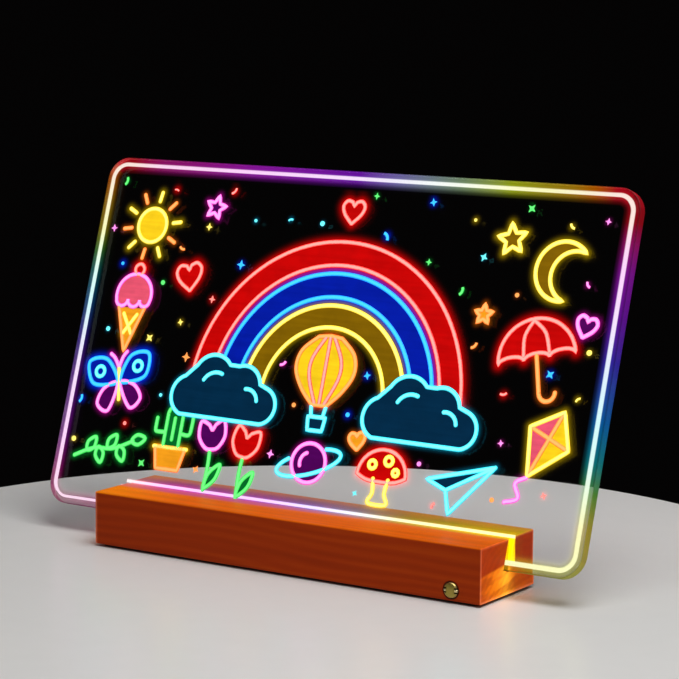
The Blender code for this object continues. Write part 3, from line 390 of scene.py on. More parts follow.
def make_light_colour_group():
    """A shader group that turns a place into the colour of the lamps there."""
    group = bpy.data.node_groups.new("light along the slot", "ShaderNodeTree")
    group.interface.new_socket("Place", in_out="INPUT", socket_type="NodeSocketVector")
    group.interface.new_socket("Colour", in_out="OUTPUT", socket_type="NodeSocketColor")
    start = group.nodes.new("NodeGroupInput")
    end = group.nodes.new("NodeGroupOutput")
    split = node(group, "ShaderNodeSeparateXYZ", {0: start.outputs["Place"]})
    share = between(group, split.outputs["X"], BLOCK_LOW.x, BLOCK_HIGH.x, smooth=False)
    group.links.new(ramp(group, share, SLOT_LIGHT), end.inputs["Colour"])
    return group


LIGHT_ALONG_SLOT = make_light_colour_group()


def slot_light(tree, place):
    """The colour of the lamps at a place, from the shared group."""
    group = node(tree, "ShaderNodeGroup", node_tree=LIGHT_ALONG_SLOT)
    feed(tree, group.inputs["Place"], place)
    return group.outputs["Colour"]


print("slot light:", len(SLOT_LIGHT), "colours")

# %% [markdown]
# The base is a bar of orange-brown wood, oiled to a satin gloss. Wood is a solid with growth rings round
# the middle of the tree, so the pattern is worked out in space and not wrapped round the bar: long
# streaks on the front and the top, and curved rings on the ends come out of the same rule.

# %% Wood grain
RING_CENTRE = Vector((0, 34, -58)) * MM
RING_PITCH = 4.2 * MM
RING_BEND = 4.2
RINGS_SHARE = 0.14
FIBRES_SHARE = 0.50
STREAKS_SHARE = 0.36


def wood_grain(tree, place):
    """The rings' and fibres' height, from 0, dark, to 1, light."""
    bend = noise(tree, place, 26.0, detail=2.0, stretch=(0.16, 1, 1))
    centred = node(tree, "ShaderNodeMapping", {"Vector": place, "Location": -RING_CENTRE})
    split = node(tree, "ShaderNodeSeparateXYZ", {0: centred.outputs[0]})
    radius = distance_from_axis(tree, Y=split.outputs["Y"], Z=split.outputs["Z"])
    turns = maths(tree, "DIVIDE", radius, RING_PITCH)
    turns = maths(tree, "ADD", turns, maths(tree, "MULTIPLY", bend, RING_BEND))
    rings = between(tree, maths(tree, "PINGPONG", turns, 0.5), 0.05, 0.45)
    fibres = noise(tree, place, 5.0, detail=6.0, roughness=0.62, stretch=(1, 46, 46))
    streaks = noise(tree, place, 3.0, stretch=(1, 18, 18))
    return maths(
        tree,
        "ADD",
        maths(tree, "MULTIPLY", rings, RINGS_SHARE),
        maths(tree, "MULTIPLY", fibres, FIBRES_SHARE),
        maths(tree, "MULTIPLY", streaks, STREAKS_SHARE),
    )


print("growth rings every", round(RING_PITCH / MM, 1), "mm")

# %% [markdown]
# The light that leaks out of the slot warms the wood beside it, and fans out over the lower half of both
# ends. Lamps inside the slot could do this, but light that finds its way out of so narrow a gap renders
# slowly and with noise. So the wood gives this light off itself, and its strength and colour follow from
# the distance to the slot. The ends also get an even painted light, and their edges a painted highlight,
# which the wood gives off in the same way.

# %% Light on the top of the wood and in the slot
HALF_SLOT = SHEET_THICKNESS / 2 / UP_SHEET.z
TINT_FRONT = 11 * MM
TINT_BACK = 26 * MM
TINT_STRENGTHS = (0.38, 0.52)
WARM_REACH = 34 * MM
WARM_FRONT = (0.37, 0.085, 0.0)
WARM_LEFT = (0.16, 0.075, 0.0)
WARM_BACK = (0.42, 0.185, 0.036)
TOP_SKIN = (-1.2 * MM, 0.0)
WALL_SKIN = (1.0 * MM, 0.4 * MM)
WALL_FOOT = (3.8 * MM, 4.6 * MM)
WALL_STRENGTH = 0.65


def from_sheet(tree, place, direction):
    """How far a place lies from the sheet's foot and middle, along one of the sheet's directions."""
    reach = node(tree, "ShaderNodeVectorMath", {0: place, 1: direction}, operation="DOT_PRODUCT")
    return maths(tree, "SUBTRACT", reach.outputs["Value"], ORIGIN.dot(direction))


def lamp_tint(tree, split, offset, behind):
    """The share of the lamps' colours on the top, which reach further behind the slot than before it."""
    left_of, right_of = 0.4 * BLOCK_LOW.x, 0.6 * BLOCK_HIGH.x
    depth = between(tree, split.outputs["X"], left_of, right_of, TINT_FRONT, 0.45 * TINT_FRONT)
    reach = maths(tree, "SUBTRACT", maths(tree, "MULTIPLY", offset, -1.0), HALF_SLOT)
    in_front = between(tree, maths(tree, "DIVIDE", reach, depth), 1.0, 0.45, 0.0, 0.85)
    at_back = between(tree, offset, HALF_SLOT + TINT_BACK, HALF_SLOT, 0.12, 0.90)
    return mix(tree, behind, in_front, at_back)


def warm_light(tree, split, offset, behind, grain):
    """The warm light on the rest of the top, yellower at the far left and stronger on pale grain."""
    near_slot = between(tree, offset, -WARM_REACH, -HALF_SLOT, 0.8, 1.0)
    far_left = between(tree, split.outputs["X"], 0.5 * BLOCK_LOW.x, BLOCK_LOW.x)
    in_front = added(tree, tinted(tree, WARM_FRONT, near_slot), tinted(tree, WARM_LEFT, far_left))
    far_back = between(tree, offset, HALF_SLOT, HALF_SLOT + TINT_BACK, 0.4, 1.0)
    warm = mix(tree, behind, in_front, tinted(tree, WARM_BACK, far_back))
    return tinted(tree, warm, between(tree, grain, 0.2, 0.8, 0.85, 1.15))


def wall_glow(tree, place, colour):
    """The lamps' colours on the slot's walls, above its foot."""
    across = maths(tree, "ABSOLUTE", from_sheet(tree, place, OUT_FRONT))
    wall = fade_at(tree, across, SHEET_THICKNESS / 2, WALL_SKIN, WALL_STRENGTH)
    above_foot = between(tree, from_sheet(tree, place, UP_SHEET), *WALL_FOOT)
    return tinted(tree, colour, maths(tree, "MULTIPLY", wall, above_foot))


def slot_glow(tree, place, split, grain):
    """Light on the top of the base: warm all over, and in the lamps' colours near the slot and in it."""
    offset = maths(tree, "SUBTRACT", split.outputs["Y"], SLOT_Y)
    behind = maths(tree, "GREATER_THAN", offset, 0.0)
    colour = slot_light(tree, place)
    tint = lamp_tint(tree, split, offset, behind)
    warm = warm_light(tree, split, offset, behind, grain)
    light = mix(tree, tint, warm, tinted(tree, colour, between(tree, behind, 0.0, 1.0, *TINT_STRENGTHS)))
    light = tinted(tree, light, fade_at(tree, split.outputs["Z"], BLOCK_HIGH.z, TOP_SKIN))
    return added(tree, light, wall_glow(tree, place, colour))


print("slot opening:", round(2 * HALF_SLOT / MM, 1), "mm wide at y", round(SLOT_Y / MM, 2), "mm")

# %% Light on the ends of the wood
FAN_TOP = 20.4 * MM
FAN_FALL = 0.10
FAN_BACK_FALL = 0.20
FAN_FADE = 2.0 * MM
FAN_REACH = 34 * MM
FAN_BACK_REACH = 12 * MM
FAN_DIM = 0.42
FAN_TILT = math.radians(-8)
FAN_COLOUR_REACH = 26 * MM
FAN_COLOURS = (
    (0.0, (0.80, 0.39, 0.018)),
    (0.30, (0.66, 0.24, 0.004)),
    (1.0, (0.48, 0.135, 0.001)),
)
# An even painted light on both ends.
END_EVEN_LIGHT = (0.15, 0.008, 0.0)
# The painted highlight on the wood's edges.
EDGE_HIGHLIGHT = (0.20, 0.075, 0.040)
END_SKIN = (-0.8 * MM, -0.1 * MM)
BACK_EDGE = (-2.4 * MM, -1.4 * MM)
FRONT_EDGE = (1.2 * MM, 0.3 * MM)
FOOT_EDGE = (2.0 * MM, 1.0 * MM)
TOP_EDGE = (-1.8 * MM, -1.0 * MM)
TOP_HIGHLIGHT_STRENGTH = 0.4


def end_fan(tree, place, split, grain):
    """The fan of light below the slot's foot, which dims away from it and follows the wood's waves."""
    offset = maths(tree, "SUBTRACT", split.outputs["Y"], ORIGIN.y)
    backwards = maths(tree, "MAXIMUM", offset, 0.0)
    away = maths(tree, "ABSOLUTE", offset)
    fall = maths(tree, "MULTIPLY", away, FAN_FALL)
    back_fall = maths(tree, "MULTIPLY", backwards, FAN_BACK_FALL)
    below = maths(tree, "SUBTRACT", FAN_TOP, fall, back_fall, split.outputs["Z"])
    slanted = node(tree, "ShaderNodeMapping", {"Vector": place, "Rotation": (FAN_TILT, 0, 0)})
    waves = noise(tree, slanted.outputs[0], 95.0, stretch=(1, 0.40, 1.9))
    amount = maths(
        tree,
        "MULTIPLY",
        between(tree, below, 0.0, FAN_FADE),
        between(tree, away, 0.0, FAN_REACH, 1.0, FAN_DIM),
        between(tree, backwards, 0.0, FAN_BACK_REACH, 1.0, FAN_DIM),
        between(tree, waves, 0.40, 0.60, 0.55, 1.12),
        between(tree, grain, 0.25, 0.75, 0.80, 1.12),
    )
    return tinted(tree, ramp(tree, between(tree, away, 0.0, FAN_COLOUR_REACH), FAN_COLOURS), amount)


def end_glow(tree, place, split, grain):
    """Light on the ends: the fan from the slot's foot, even painted light and painted edge highlights."""
    # The edges of the ends that get the painted highlight.
    edges = maths(
        tree,
        "MAXIMUM",
        fade_at(tree, split.outputs["Y"], BLOCK_HIGH.y, BACK_EDGE),
        fade_at(tree, split.outputs["Y"], BLOCK_LOW.y, FRONT_EDGE),
        fade_at(tree, split.outputs["Z"], BLOCK_LOW.z, FOOT_EDGE),
        fade_at(tree, split.outputs["Z"], BLOCK_HIGH.z, TOP_EDGE, TOP_HIGHLIGHT_STRENGTH),
    )
    light = added(tree, end_fan(tree, place, split, grain), END_EVEN_LIGHT, tinted(tree, EDGE_HIGHLIGHT, edges))
    at_end = fade_at(tree, maths(tree, "ABSOLUTE", split.outputs["X"]), BLOCK_HIGH.x, END_SKIN)
    return tinted(tree, light, at_end)


print("light fans out below", round(FAN_TOP / MM, 1), "mm on both ends")

# %% [markdown]
# Round the button's hole a dark ring is painted, as the shadow in the gap round the cap, and the front's
# left edge gets the same painted highlight as the edges of the ends. The wood's material puts all of this
# together: the grain and the dark pores make the colour, the painted shadow ring darkens it, and the light
# on top, ends and edge is added as emission.

# %% Wood material
BUTTON_LOW, BUTTON_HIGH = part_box("button_cap")
BUTTON_X = (BUTTON_LOW.x + BUTTON_HIGH.x) / 2
BUTTON_Z = (BUTTON_LOW.z + BUTTON_HIGH.z) / 2
BUTTON_RADIUS = (BUTTON_HIGH.x - BUTTON_LOW.x) / 2
# Where the painted shadow ring round the button's hole fades, and how dark it is.
HOLE_SHADOW_FADE = (1.3 * MM, 0.5 * MM)
HOLE_SHADOW_STRENGTH = 0.8
FRONT_SKIN = (0.8 * MM, 0.2 * MM)
# Where the painted highlight on the front's left edge lies, and how strong it is.
LEFT_EDGE = (2.0 * MM, 1.1 * MM)
LEFT_HIGHLIGHT_STRENGTH = 0.7
WOOD_DARK = (0.27, 0.021, 0.0008)
WOOD_MID = (0.38, 0.034, 0.0012)
WOOD_LIGHT = (0.48, 0.058, 0.0020)
# The painted shadow in the gap round the button's cap.
HOLE_SHADOW_COLOUR = (0.05, 0.004, 0.0004)
PORE_SHARE = 0.30
GRAIN_HEIGHT = 0.2 * MM


def hole_shadow(tree, split):
    """A painted shadow: the dark ring in the wood round the button's hole."""
    radius = distance_from_axis(
        tree,
        X=maths(tree, "SUBTRACT", split.outputs["X"], BUTTON_X),
        Z=maths(tree, "SUBTRACT", split.outputs["Z"], BUTTON_Z),
    )
    ring = fade_at(tree, radius, BUTTON_RADIUS, HOLE_SHADOW_FADE, HOLE_SHADOW_STRENGTH)
    return maths(tree, "MULTIPLY", ring, between(tree, split.outputs["Y"], 0.0, BLOCK_LOW.y / 2))


def front_edge_highlight(tree, split):
    """A painted highlight on the upright edge at the left of the front."""
    at_front = fade_at(tree, split.outputs["Y"], BLOCK_LOW.y, FRONT_SKIN)
    border = fade_at(tree, split.outputs["X"], BLOCK_LOW.x, LEFT_EDGE, LEFT_HIGHLIGHT_STRENGTH)
    return tinted(tree, EDGE_HIGHLIGHT, maths(tree, "MULTIPLY", at_front, border))


def make_wood():
    """Three browns by the grain's height, dark pores, the painted shadow ring and the light of the slot."""
    material, tree, shader = new_material("oiled orange wood")
    place = object_place(tree)
    split = node(tree, "ShaderNodeSeparateXYZ", {0: place})
    grain = wood_grain(tree, place)
    pores = between(tree, noise(tree, place, 9.0, detail=2.0, stretch=(1, 60, 60)), 0.60, 0.72)
    colour = ramp(tree, grain, ((0.22, WOOD_DARK), (0.50, WOOD_MID), (0.80, WOOD_LIGHT)))
    colour = mix(tree, maths(tree, "MULTIPLY", pores, PORE_SHARE), colour, WOOD_DARK)
    glow = added(
        tree,
        slot_glow(tree, place, split, grain),
        end_glow(tree, place, split, grain),
        front_edge_highlight(tree, split),
    )
    shade(tree, shader, {
        "Base Color": mix(tree, hole_shadow(tree, split), colour, HOLE_SHADOW_COLOUR),
        "Roughness": between(tree, grain, 0.2, 0.8, 0.40, 0.55),
        "Specular IOR Level": 0.07,
        "Emission Color": glow,
        "Emission Strength": 1.0,
        "Normal": bumped(tree, grain, 0.2, GRAIN_HEIGHT),
    })
    return material


dress("base_block", make_wood())
print("wood on the base block, button's hole at x", round(BUTTON_X / MM, 1), "mm")

# %% [markdown]
# The drawing comes before the sheet, because its strokes light up the sheet round them. Each motif is
# drawn in millimetres with a few points, arcs and mirrored curves. A shape function gives points, "line"
# keeps them as a marker stroke, and "wash" keeps them as an area filled with the side of the marker.

# %% Drawing tools
STROKE_STEP = 1.2
FEWEST_ARC_STEPS = 6
FEWEST_CURVE_STEPS = 3
INKS = {
    "red": {"core": (1.0, 0.42, 0.36), "edge": (0.92, 0.01, 0.01),
            "glow": (0.58, 0.0, 0.0), "reach": 2.8},
    "orange": {"core": (1.0, 0.44, 0.13), "edge": (0.92, 0.17, 0.01),
               "glow": (0.24, 0.05, 0.0), "reach": 1.9},
    "yellow": {"core": (1.0, 0.88, 0.24), "edge": (0.92, 0.64, 0.02),
               "glow": (0.30, 0.20, 0.0), "reach": 2.3},
    "green": {"core": (0.16, 0.90, 0.22), "edge": (0.02, 0.56, 0.06),
              "glow": (0.0, 0.16, 0.02), "reach": 2.0},
    "cyan": {"core": (0.24, 1.0, 1.0), "edge": (0.01, 0.62, 0.80),
             "glow": (0.0, 0.12, 0.20), "reach": 1.9},
    "blue": {"core": (0.06, 0.62, 1.0), "edge": (0.0, 0.26, 1.0),
             "glow": (0.0, 0.02, 0.60), "reach": 2.8},
    "pink": {"core": (1.0, 0.42, 0.86), "edge": (0.85, 0.05, 0.52),
             "glow": (0.22, 0.0, 0.14), "reach": 2.0},
    "violet": {"core": (0.80, 0.42, 1.0), "edge": (0.42, 0.06, 0.90),
               "glow": (0.12, 0.0, 0.30), "reach": 2.1},
}
WASH_COLOURS = {
    "scarlet": (0.56, 0.0, 0.0),
    "ultramarine": (0.0, 0.010, 0.36),
    "olive": (0.21, 0.108, 0.0),
    "sunshine": (0.96, 0.62, 0.01),
    "amber": (0.90, 0.34, 0.01),
    "rose": (0.80, 0.09, 0.16),
    "plum": (0.075, 0.0, 0.095),
    "leaf": (0.0, 0.14, 0.02),
    "night": (0.0, 0.022, 0.060),
}
LINES = {}
WASHES = {}


def arc(x, y, radius, start=0.0, end=360.0, height=1.0):
    """Points of an arc or circle, with its height as a share of its width."""
    sweep = math.radians(end - start)
    steps = max(FEWEST_ARC_STEPS, int(abs(sweep) * radius / STROKE_STEP))
    points = []
    for step in range(steps + 1):
        angle = math.radians(start) + sweep * step / steps
        points.append((x + radius * math.cos(angle), y + radius * height * math.sin(angle)))
    return points[:-1] if abs(end - start) >= 360 else points


def smooth(corners, closed=False):
    """A soft curve through a few points."""
    ends = corners if closed else [corners[0], *corners, corners[-1]]
    count = len(corners) if closed else len(corners) - 1
    points = []
    for index in range(count):
        if closed:
            knots = [np.array(ends[(index + shift) % len(ends)], float) for shift in (-1, 0, 1, 2)]
        else:
            knots = [np.array(ends[index + shift], float) for shift in range(4)]
        before, here, there, after = knots
        steps = max(FEWEST_CURVE_STEPS, int(np.linalg.norm(there - here) / STROKE_STEP))
        for step in range(steps):
            u = step / steps
            points.append(tuple(0.5 * (
                2 * here
                + (there - before) * u
                + (2 * before - 5 * here + 4 * there - after) * u ** 2
                + (3 * here - before - 3 * there + after) * u ** 3
            )))
    if not closed:
        points.append(tuple(corners[-1]))
    return points


def star(x, y, outer, inner, tips, turn=90.0):
    """The corners of a star, whose first tip points along the turn."""
    points = []
    for index in range(2 * tips):
        radius = inner if index % 2 else outer
        angle = math.radians(turn + 180 * index / tips)
        points.append((x + radius * math.cos(angle), y + radius * math.sin(angle)))
    return points


def mirrored(points, axis=0.0):
    """A half outline and its mirror image across an upright axis, as one closed outline."""
    return [*points, *((2 * axis - x, y) for x, y in reversed(points))]


def moved(points, x=0.0, y=0.0, size=1.0, turn=0.0):
    """Points that are sized and turned round zero, and then shifted."""
    cosine = math.cos(math.radians(turn)) * size
    sine = math.sin(math.radians(turn)) * size
    return [(x + px * cosine - py * sine, y + px * sine + py * cosine) for px, py in points]


def dense(points, closed):
    """The same outline with a point at every stroke step."""
    corners = [*points, points[0]] if closed else list(points)
    result = []
    for here, there in zip(corners, corners[1:]):
        steps = max(1, round(math.dist(here, there) / STROKE_STEP))
        result.extend(
            (here[0] + (there[0] - here[0]) * step / steps, here[1] + (there[1] - here[1]) * step / steps)
            for step in range(steps)
        )
    if not closed:
        result.append(corners[-1])
    return result


def line(ink, points, closed=False, layer=0):
    """A marker stroke. Layer 1 lies on top of what is drawn in layer 0."""
    LINES.setdefault((ink, layer), []).append((dense(points, closed), closed))


def wash(colour, points, layer=0):
    """An area that is filled with the side of the marker."""
    WASHES.setdefault((colour, layer), []).append(points)


def outlined(ink, colour, points, layer=0):
    """A closed stroke, filled with a wash."""
    line(ink, points, closed=True, layer=layer)
    wash(colour, points, layer)


print("inks:", ", ".join(INKS))

# %% [markdown]
# The motifs are things that anyone draws on such a board: sky, weather, garden and toys. The rainbow in
# the middle is the largest, in three broad bands that are outlined twice, inside and out. The others
# stand round it, in rows, with the flat area of each filled in its own or a matching ink.

# %% Rainbow, clouds and balloon
def draw_rainbow(x, y):
    bands = (("red", "scarlet", 93, 79), ("blue", "ultramarine", 74, 60), ("yellow", "olive", 55, 42))
    for ink, colour, outer, inner in bands:
        outlined(ink, colour, arc(x, y, outer, 0, 180) + arc(x, y, inner, 180, 0))


def draw_cloud(x, y, size=1.0):
    puffs = [*arc(-19, -1, 9.5, 250, 110), *arc(-7, 8, 11, 150, 40), *arc(10, 6, 9.5, 110, 10),
             *arc(21, -2, 8.5, 70, -80)]
    outlined("cyan", "night", moved(puffs, x, y, size), layer=1)
    line("cyan", moved(arc(-5, 3, 8, 150, 70), x, y, size), layer=1)
    line("cyan", moved(arc(13, -1, 6, 100, 10), x, y, size), layer=1)


def draw_balloon(x, y):
    half = [(0, 21), *smooth([(8, 20), (18, 11), (20, 0), (14, -11), (5, -20)])]
    outlined("orange", "sunshine", moved(mirrored(half), x, y))
    for bulge in (-10, 0, 10):
        rib = [(bulge * 0.3, 20), (bulge, 7), (bulge, -4), (bulge * 0.35, -19)]
        line("red", moved(smooth(rib), x, y))
    line("cyan", moved([(-5, -21), (-4, -27)], x, y))
    line("cyan", moved([(5, -21), (4, -27)], x, y))
    outlined("cyan", "night", moved([(-6, -27), (6, -27), (5, -35), (-5, -35)], x, y))


draw_rainbow(0, 82)
draw_cloud(-68, 76, 1.3)
draw_cloud(68, 76, 1.3)
draw_balloon(0, 98)
print("strokes so far:", sum(len(strokes) for strokes in LINES.values()))

# %% Sky: sun, moon, planet and stars
def draw_sun(x, y):
    outlined("yellow", "sunshine", arc(x, y, 10.5))
    for step in range(10):
        turn = 36 * step + 9
        line("orange" if step % 2 else "yellow", moved([(15.5, 0), (21, 0)], x, y, turn=turn))


def draw_moon(x, y):
    outer = arc(0, 0, 17, 60, 300)
    inner = arc(8.0, 0, 14.8, 266, 94)
    outlined("yellow", "olive", moved([*outer, *inner], x, y, turn=-20))


def draw_planet(x, y):
    outlined("pink", "plum", arc(x, y, 11.5))
    ring = [(px, py * 0.30) for px, py in arc(0, 0, 22, -234, 54)]
    line("cyan", moved(ring, x, y, turn=18))
    line("pink", moved(arc(0, 0, 6, 110, 200), x, y))


def draw_star(x, y, size, ink="yellow", colour="olive", turn=90.0):
    outlined(ink, colour, star(x, y, size, size * 0.45, 5, turn))


draw_sun(-143, 176)
draw_moon(143, 168)
draw_planet(0, 44)
draw_star(108, 184, 9.5, turn=100)
draw_star(-98, 190, 7.5, "pink", "plum", turn=80)
draw_star(98, 140, 6.0, "orange", "amber")
print("strokes so far:", sum(len(strokes) for strokes in LINES.values()))

# %% Garden: cactus, tulips, mushroom, leaves and butterfly
def draw_cactus(x, y):
    body = [(-5.5, -6), (-5.5, 14), *arc(0, 14, 5.5, 180, 0), (5.5, -6)]
    outlined("green", "leaf", moved(body, x, y))
    for side in (-1, 1):
        arm = smooth([(side * 6, 3), (side * 12, 3), (side * 13, 7 + 2 * side), (side * 13, 13 + 2 * side)])
        line("green", moved(arm, x, y))
    line("green", moved([(0, -1), (0, 12)], x, y))
    outlined("orange", "amber", moved([(-11, -6), (11, -6), (8, -19), (-8, -19)], x, y))
    line("yellow", moved([(-12, -6), (12, -6)], x, y))


def draw_tulip(x, y, ink, colour, lean):
    head = mirrored([(0, 4), *smooth([(2, 7), (7, 9), (8, 1), (4, -5), (0, -6)])[:-1]])
    outlined(ink, colour, moved(head, x, y + 11, 1.15, turn=lean))
    line("green", moved(smooth([(0, 3), (lean * 0.06, -6), (0, -20)]), x, y))
    leaf = smooth([(0, -19), (7, -13), (9, -4), (2, -10)], closed=True)
    outlined("green", "leaf", moved(leaf, x, y))


def draw_mushroom(x, y):
    stalk = smooth([(-5, -2), (-4, -10), (-6, -16), (6, -16), (4, -10), (5, -2)])
    line("yellow", moved(stalk, x, y))
    cap = [*arc(0, 0, 16, 0, 180, height=0.95), *smooth([(-16, 0), (-8, -3), (8, -3), (16, 0)])[1:-1]]
    outlined("red", "scarlet", moved(cap, x, y))
    for dot_x, dot_y, radius in ((-7, 6, 2.4), (3.5, 9, 2.6), (9, 2.8, 1.9)):
        line("yellow", moved(arc(dot_x, dot_y, radius), x, y), closed=True)


def draw_twig(x, y, turn):
    line("green", moved(smooth([(-20, -6), (-6, 0), (8, 1), (22, 7)]), x, y, turn=turn))
    for px, py, way in ((-11, -2, 60), (-3, 1, -70), (4, 1, 58), (12, 3, -62), (21, 7, 15)):
        leaf = smooth([(0, 0), (4.5, 3), (10, 0), (4.5, -3)], closed=True)
        outlined("green", "leaf", moved(moved(leaf, px, py, turn=way), x, y, turn=turn))


def draw_butterfly(x, y):
    for side in (-1, 1):
        tip, waist = (side * 22, 15), (side * 9, -1)
        upper = smooth([(side, 1), (side * 9, 15), tip, (side * 20, 2), waist], closed=True)
        lower = smooth([(side, -1), (side * 11, -3), (side * 16, -12), (side * 8, -17)], closed=True)
        outlined("blue", "ultramarine", moved(upper, x, y, turn=12))
        outlined("pink", "plum", moved(lower, x, y, turn=12))
        line("cyan", moved(arc(side * 14, 8, 3.2), x, y, turn=12), closed=True)
        line("pink", moved(smooth([(0, 9), (side * 3, 15), (side * 6, 18)]), x, y, turn=12))
    line("yellow", moved([(0, 9), (0, -11)], x, y, turn=12))


draw_cactus(-99, 48)
draw_tulip(-70, 40, "pink", "plum", 8)
draw_tulip(-46, 38, "red", "scarlet", -10)
draw_mushroom(50, 42)
draw_twig(-149, 36, 0)
draw_butterfly(-146, 78)
print("strokes so far:", sum(len(strokes) for strokes in LINES.values()))

# %% Toys and treats: kite, umbrella, ice cream, paper plane and hearts
def draw_kite(x, y):
    wash("sunshine", moved([(0, 22), (14, 5), (0, -19)], x, y, turn=-24))
    wash("rose", moved([(0, 22), (-14, 5), (0, -19)], x, y, turn=-24))
    line("yellow", moved([(0, 22), (14, 5), (0, -19), (-14, 5)], x, y, turn=-24), closed=True)
    line("orange", moved([(0, 20), (0, -17)], x, y, turn=-24))
    line("orange", moved([(-12, 5), (12, 5)], x, y, turn=-24))
    tail = smooth([(0, -20), (-4, -26), (2, -32), (-4, -38)])
    line("pink", moved(tail, x, y, turn=-24))


def draw_umbrella(x, y):
    scallops = arc(-16, 0, 8, 0, 180, 0.4)[::-1] + arc(0, 0, 8, 180, 0, 0.4) + arc(16, 0, 8, 180, 0, 0.4)
    canopy = [*arc(0, 0, 24, 0, 180, 0.95), *scallops[1:-1]]
    line("orange", moved([(0, 3), (0, -20), *arc(5, -20, 5, 180, 350)], x, y, turn=14))
    outlined("red", "scarlet", moved(canopy, x, y, turn=14))
    for side in (-8, 8):
        line("red", moved(smooth([(side, 3), (side * 0.8, 14), (0, 22)]), x, y, turn=14))


def draw_ice_cream(x, y):
    cone = [(-9.5, -4), (0, -31), (9.5, -4)]
    line("orange", moved(cone, x, y))
    wash("amber", moved(cone, x, y))
    line("yellow", moved([(-5.0, -8), (3, -20)], x, y))
    line("yellow", moved([(5.0, -8), (-3, -20)], x, y))
    scoop = [*arc(0, 4, 13, -10, 190), *arc(-8.2, 1, 4.4, 180, 360), *arc(0.6, 1, 4.4, 180, 360),
             *arc(8.8, 1, 3.8, 180, 330)]
    outlined("pink", "rose", moved(scoop, x, y))
    outlined("red", "scarlet", arc(x + 1, y + 20, 3.4))


def draw_paper_plane(x, y):
    wash("night", moved([(-18, 2), (24, 13), (-5, -3)], x, y))
    line("cyan", moved([(-18, 2), (24, 13), (-1, -16), (-5, -3)], x, y), closed=True)
    line("cyan", moved([(24, 13), (-5, -3)], x, y))


def draw_heart(x, y, size, ink, colour, turn=0.0):
    half = [(0, 5), *smooth([(2, 8.5), (7, 9.5), (10.5, 5), (8, -2), (0, -10)])]
    outlined(ink, colour, moved(mirrored(half)[:-1], x, y, size, turn))


draw_kite(150, 70)
draw_umbrella(136, 118)
draw_ice_cream(-147, 128)
draw_paper_plane(98, 42)
draw_heart(-108, 146, 0.85, "red", "scarlet", 14)
draw_heart(163, 138, 0.6, "pink", "plum", -12)
draw_heart(0, 193, 0.7, "red", "scarlet")
draw_heart(30, 60, 0.5, "orange", "amber", 10)
print("strokes:", sum(len(strokes) for strokes in LINES.values()))

# %% [markdown]
# A marker stroke is a thin ribbon of ink with a soft, slightly raised middle and round ends. It follows
# a path, so Geometry Nodes make it: a flat half-round profile is swept along each path, and a low dome
# closes each open end. The profile stores how far a point lies across the stroke, from 0 in the middle
# to 1 at the edge, and the ink's material reads it to make the light core and the deeper edge.

# %% Stroke tree
PROFILE_POINTS = 9
DOME_SEGMENTS = 16
DOME_RINGS = 8


def geometry_tree(name, sockets):
    """An empty Geometry Nodes tree with named inputs, and its ends."""
    tree = bpy.data.node_groups.new(name, "GeometryNodeTree")
    tree.interface.new_socket("Geometry", in_out="INPUT", socket_type="NodeSocketGeometry")
    for label, kind in sockets:
        tree.interface.new_socket(label, in_out="INPUT", socket_type=kind)
    tree.interface.new_socket("Geometry", in_out="OUTPUT", socket_type="NodeSocketGeometry")
    return tree, tree.nodes.new("NodeGroupInput"), tree.nodes.new("NodeGroupOutput")


def stored(tree, geometry, name, value):
    """Keeps a number on every point under a name."""
    made = node(tree, "GeometryNodeStoreNamedAttribute", {
        "Geometry": geometry, "Name": name, "Value": value,
    }, data_type="FLOAT", domain="POINT")
    return made.outputs["Geometry"]


def tree_end(tree, geometry, material, end):
    """Turns instances into real points and faces, and gives them their material."""
    real = node(tree, "GeometryNodeRealizeInstances", {"Geometry": geometry})
    dressed = node(tree, "GeometryNodeSetMaterial", {
        "Geometry": real.outputs[0], "Material": material,
    })
    tree.links.new(dressed.outputs[0], end.inputs["Geometry"])


def joined(tree, *geometries):
    """Several geometries as one."""
    made = node(tree, "GeometryNodeJoinGeometry")
    for geometry in geometries:
        tree.links.new(geometry, made.inputs[0])
    return made.outputs[0]


def own_place(tree):
    """Each point's own place, split in three numbers."""
    place = node(tree, "GeometryNodeInputPosition").outputs[0]
    return node(tree, "ShaderNodeSeparateXYZ", {0: place}).outputs


def make_ribbon(tree, path, half_width, height):
    """A flat half-round profile swept along a path, with its place across the stroke stored on it."""
    place = own_place(tree)
    profile = node(tree, "GeometryNodeCurveArc", {
        "Resolution": PROFILE_POINTS, "Radius": 1.0, "Start Angle": math.pi, "Sweep Angle": math.pi,
    })
    profile = node(tree, "GeometryNodeSetSplineCyclic", {
        "Geometry": profile.outputs["Curve"], "Cyclic": True,
    })
    profile = stored(tree, profile.outputs[0], "across", maths(tree, "ABSOLUTE", place["X"]))
    scale = node(tree, "ShaderNodeCombineXYZ", {"X": half_width, "Y": height})
    profile = node(tree, "GeometryNodeTransform", {"Geometry": profile, "Scale": scale.outputs[0]})
    upright = node(tree, "GeometryNodeSetCurveNormal", {"Curve": path}, mode="Z_UP")
    return node(tree, "GeometryNodeCurveToMesh", {
        "Curve": upright.outputs[0], "Profile Curve": profile.outputs[0], "Fill Caps": True,
    }).outputs[0]


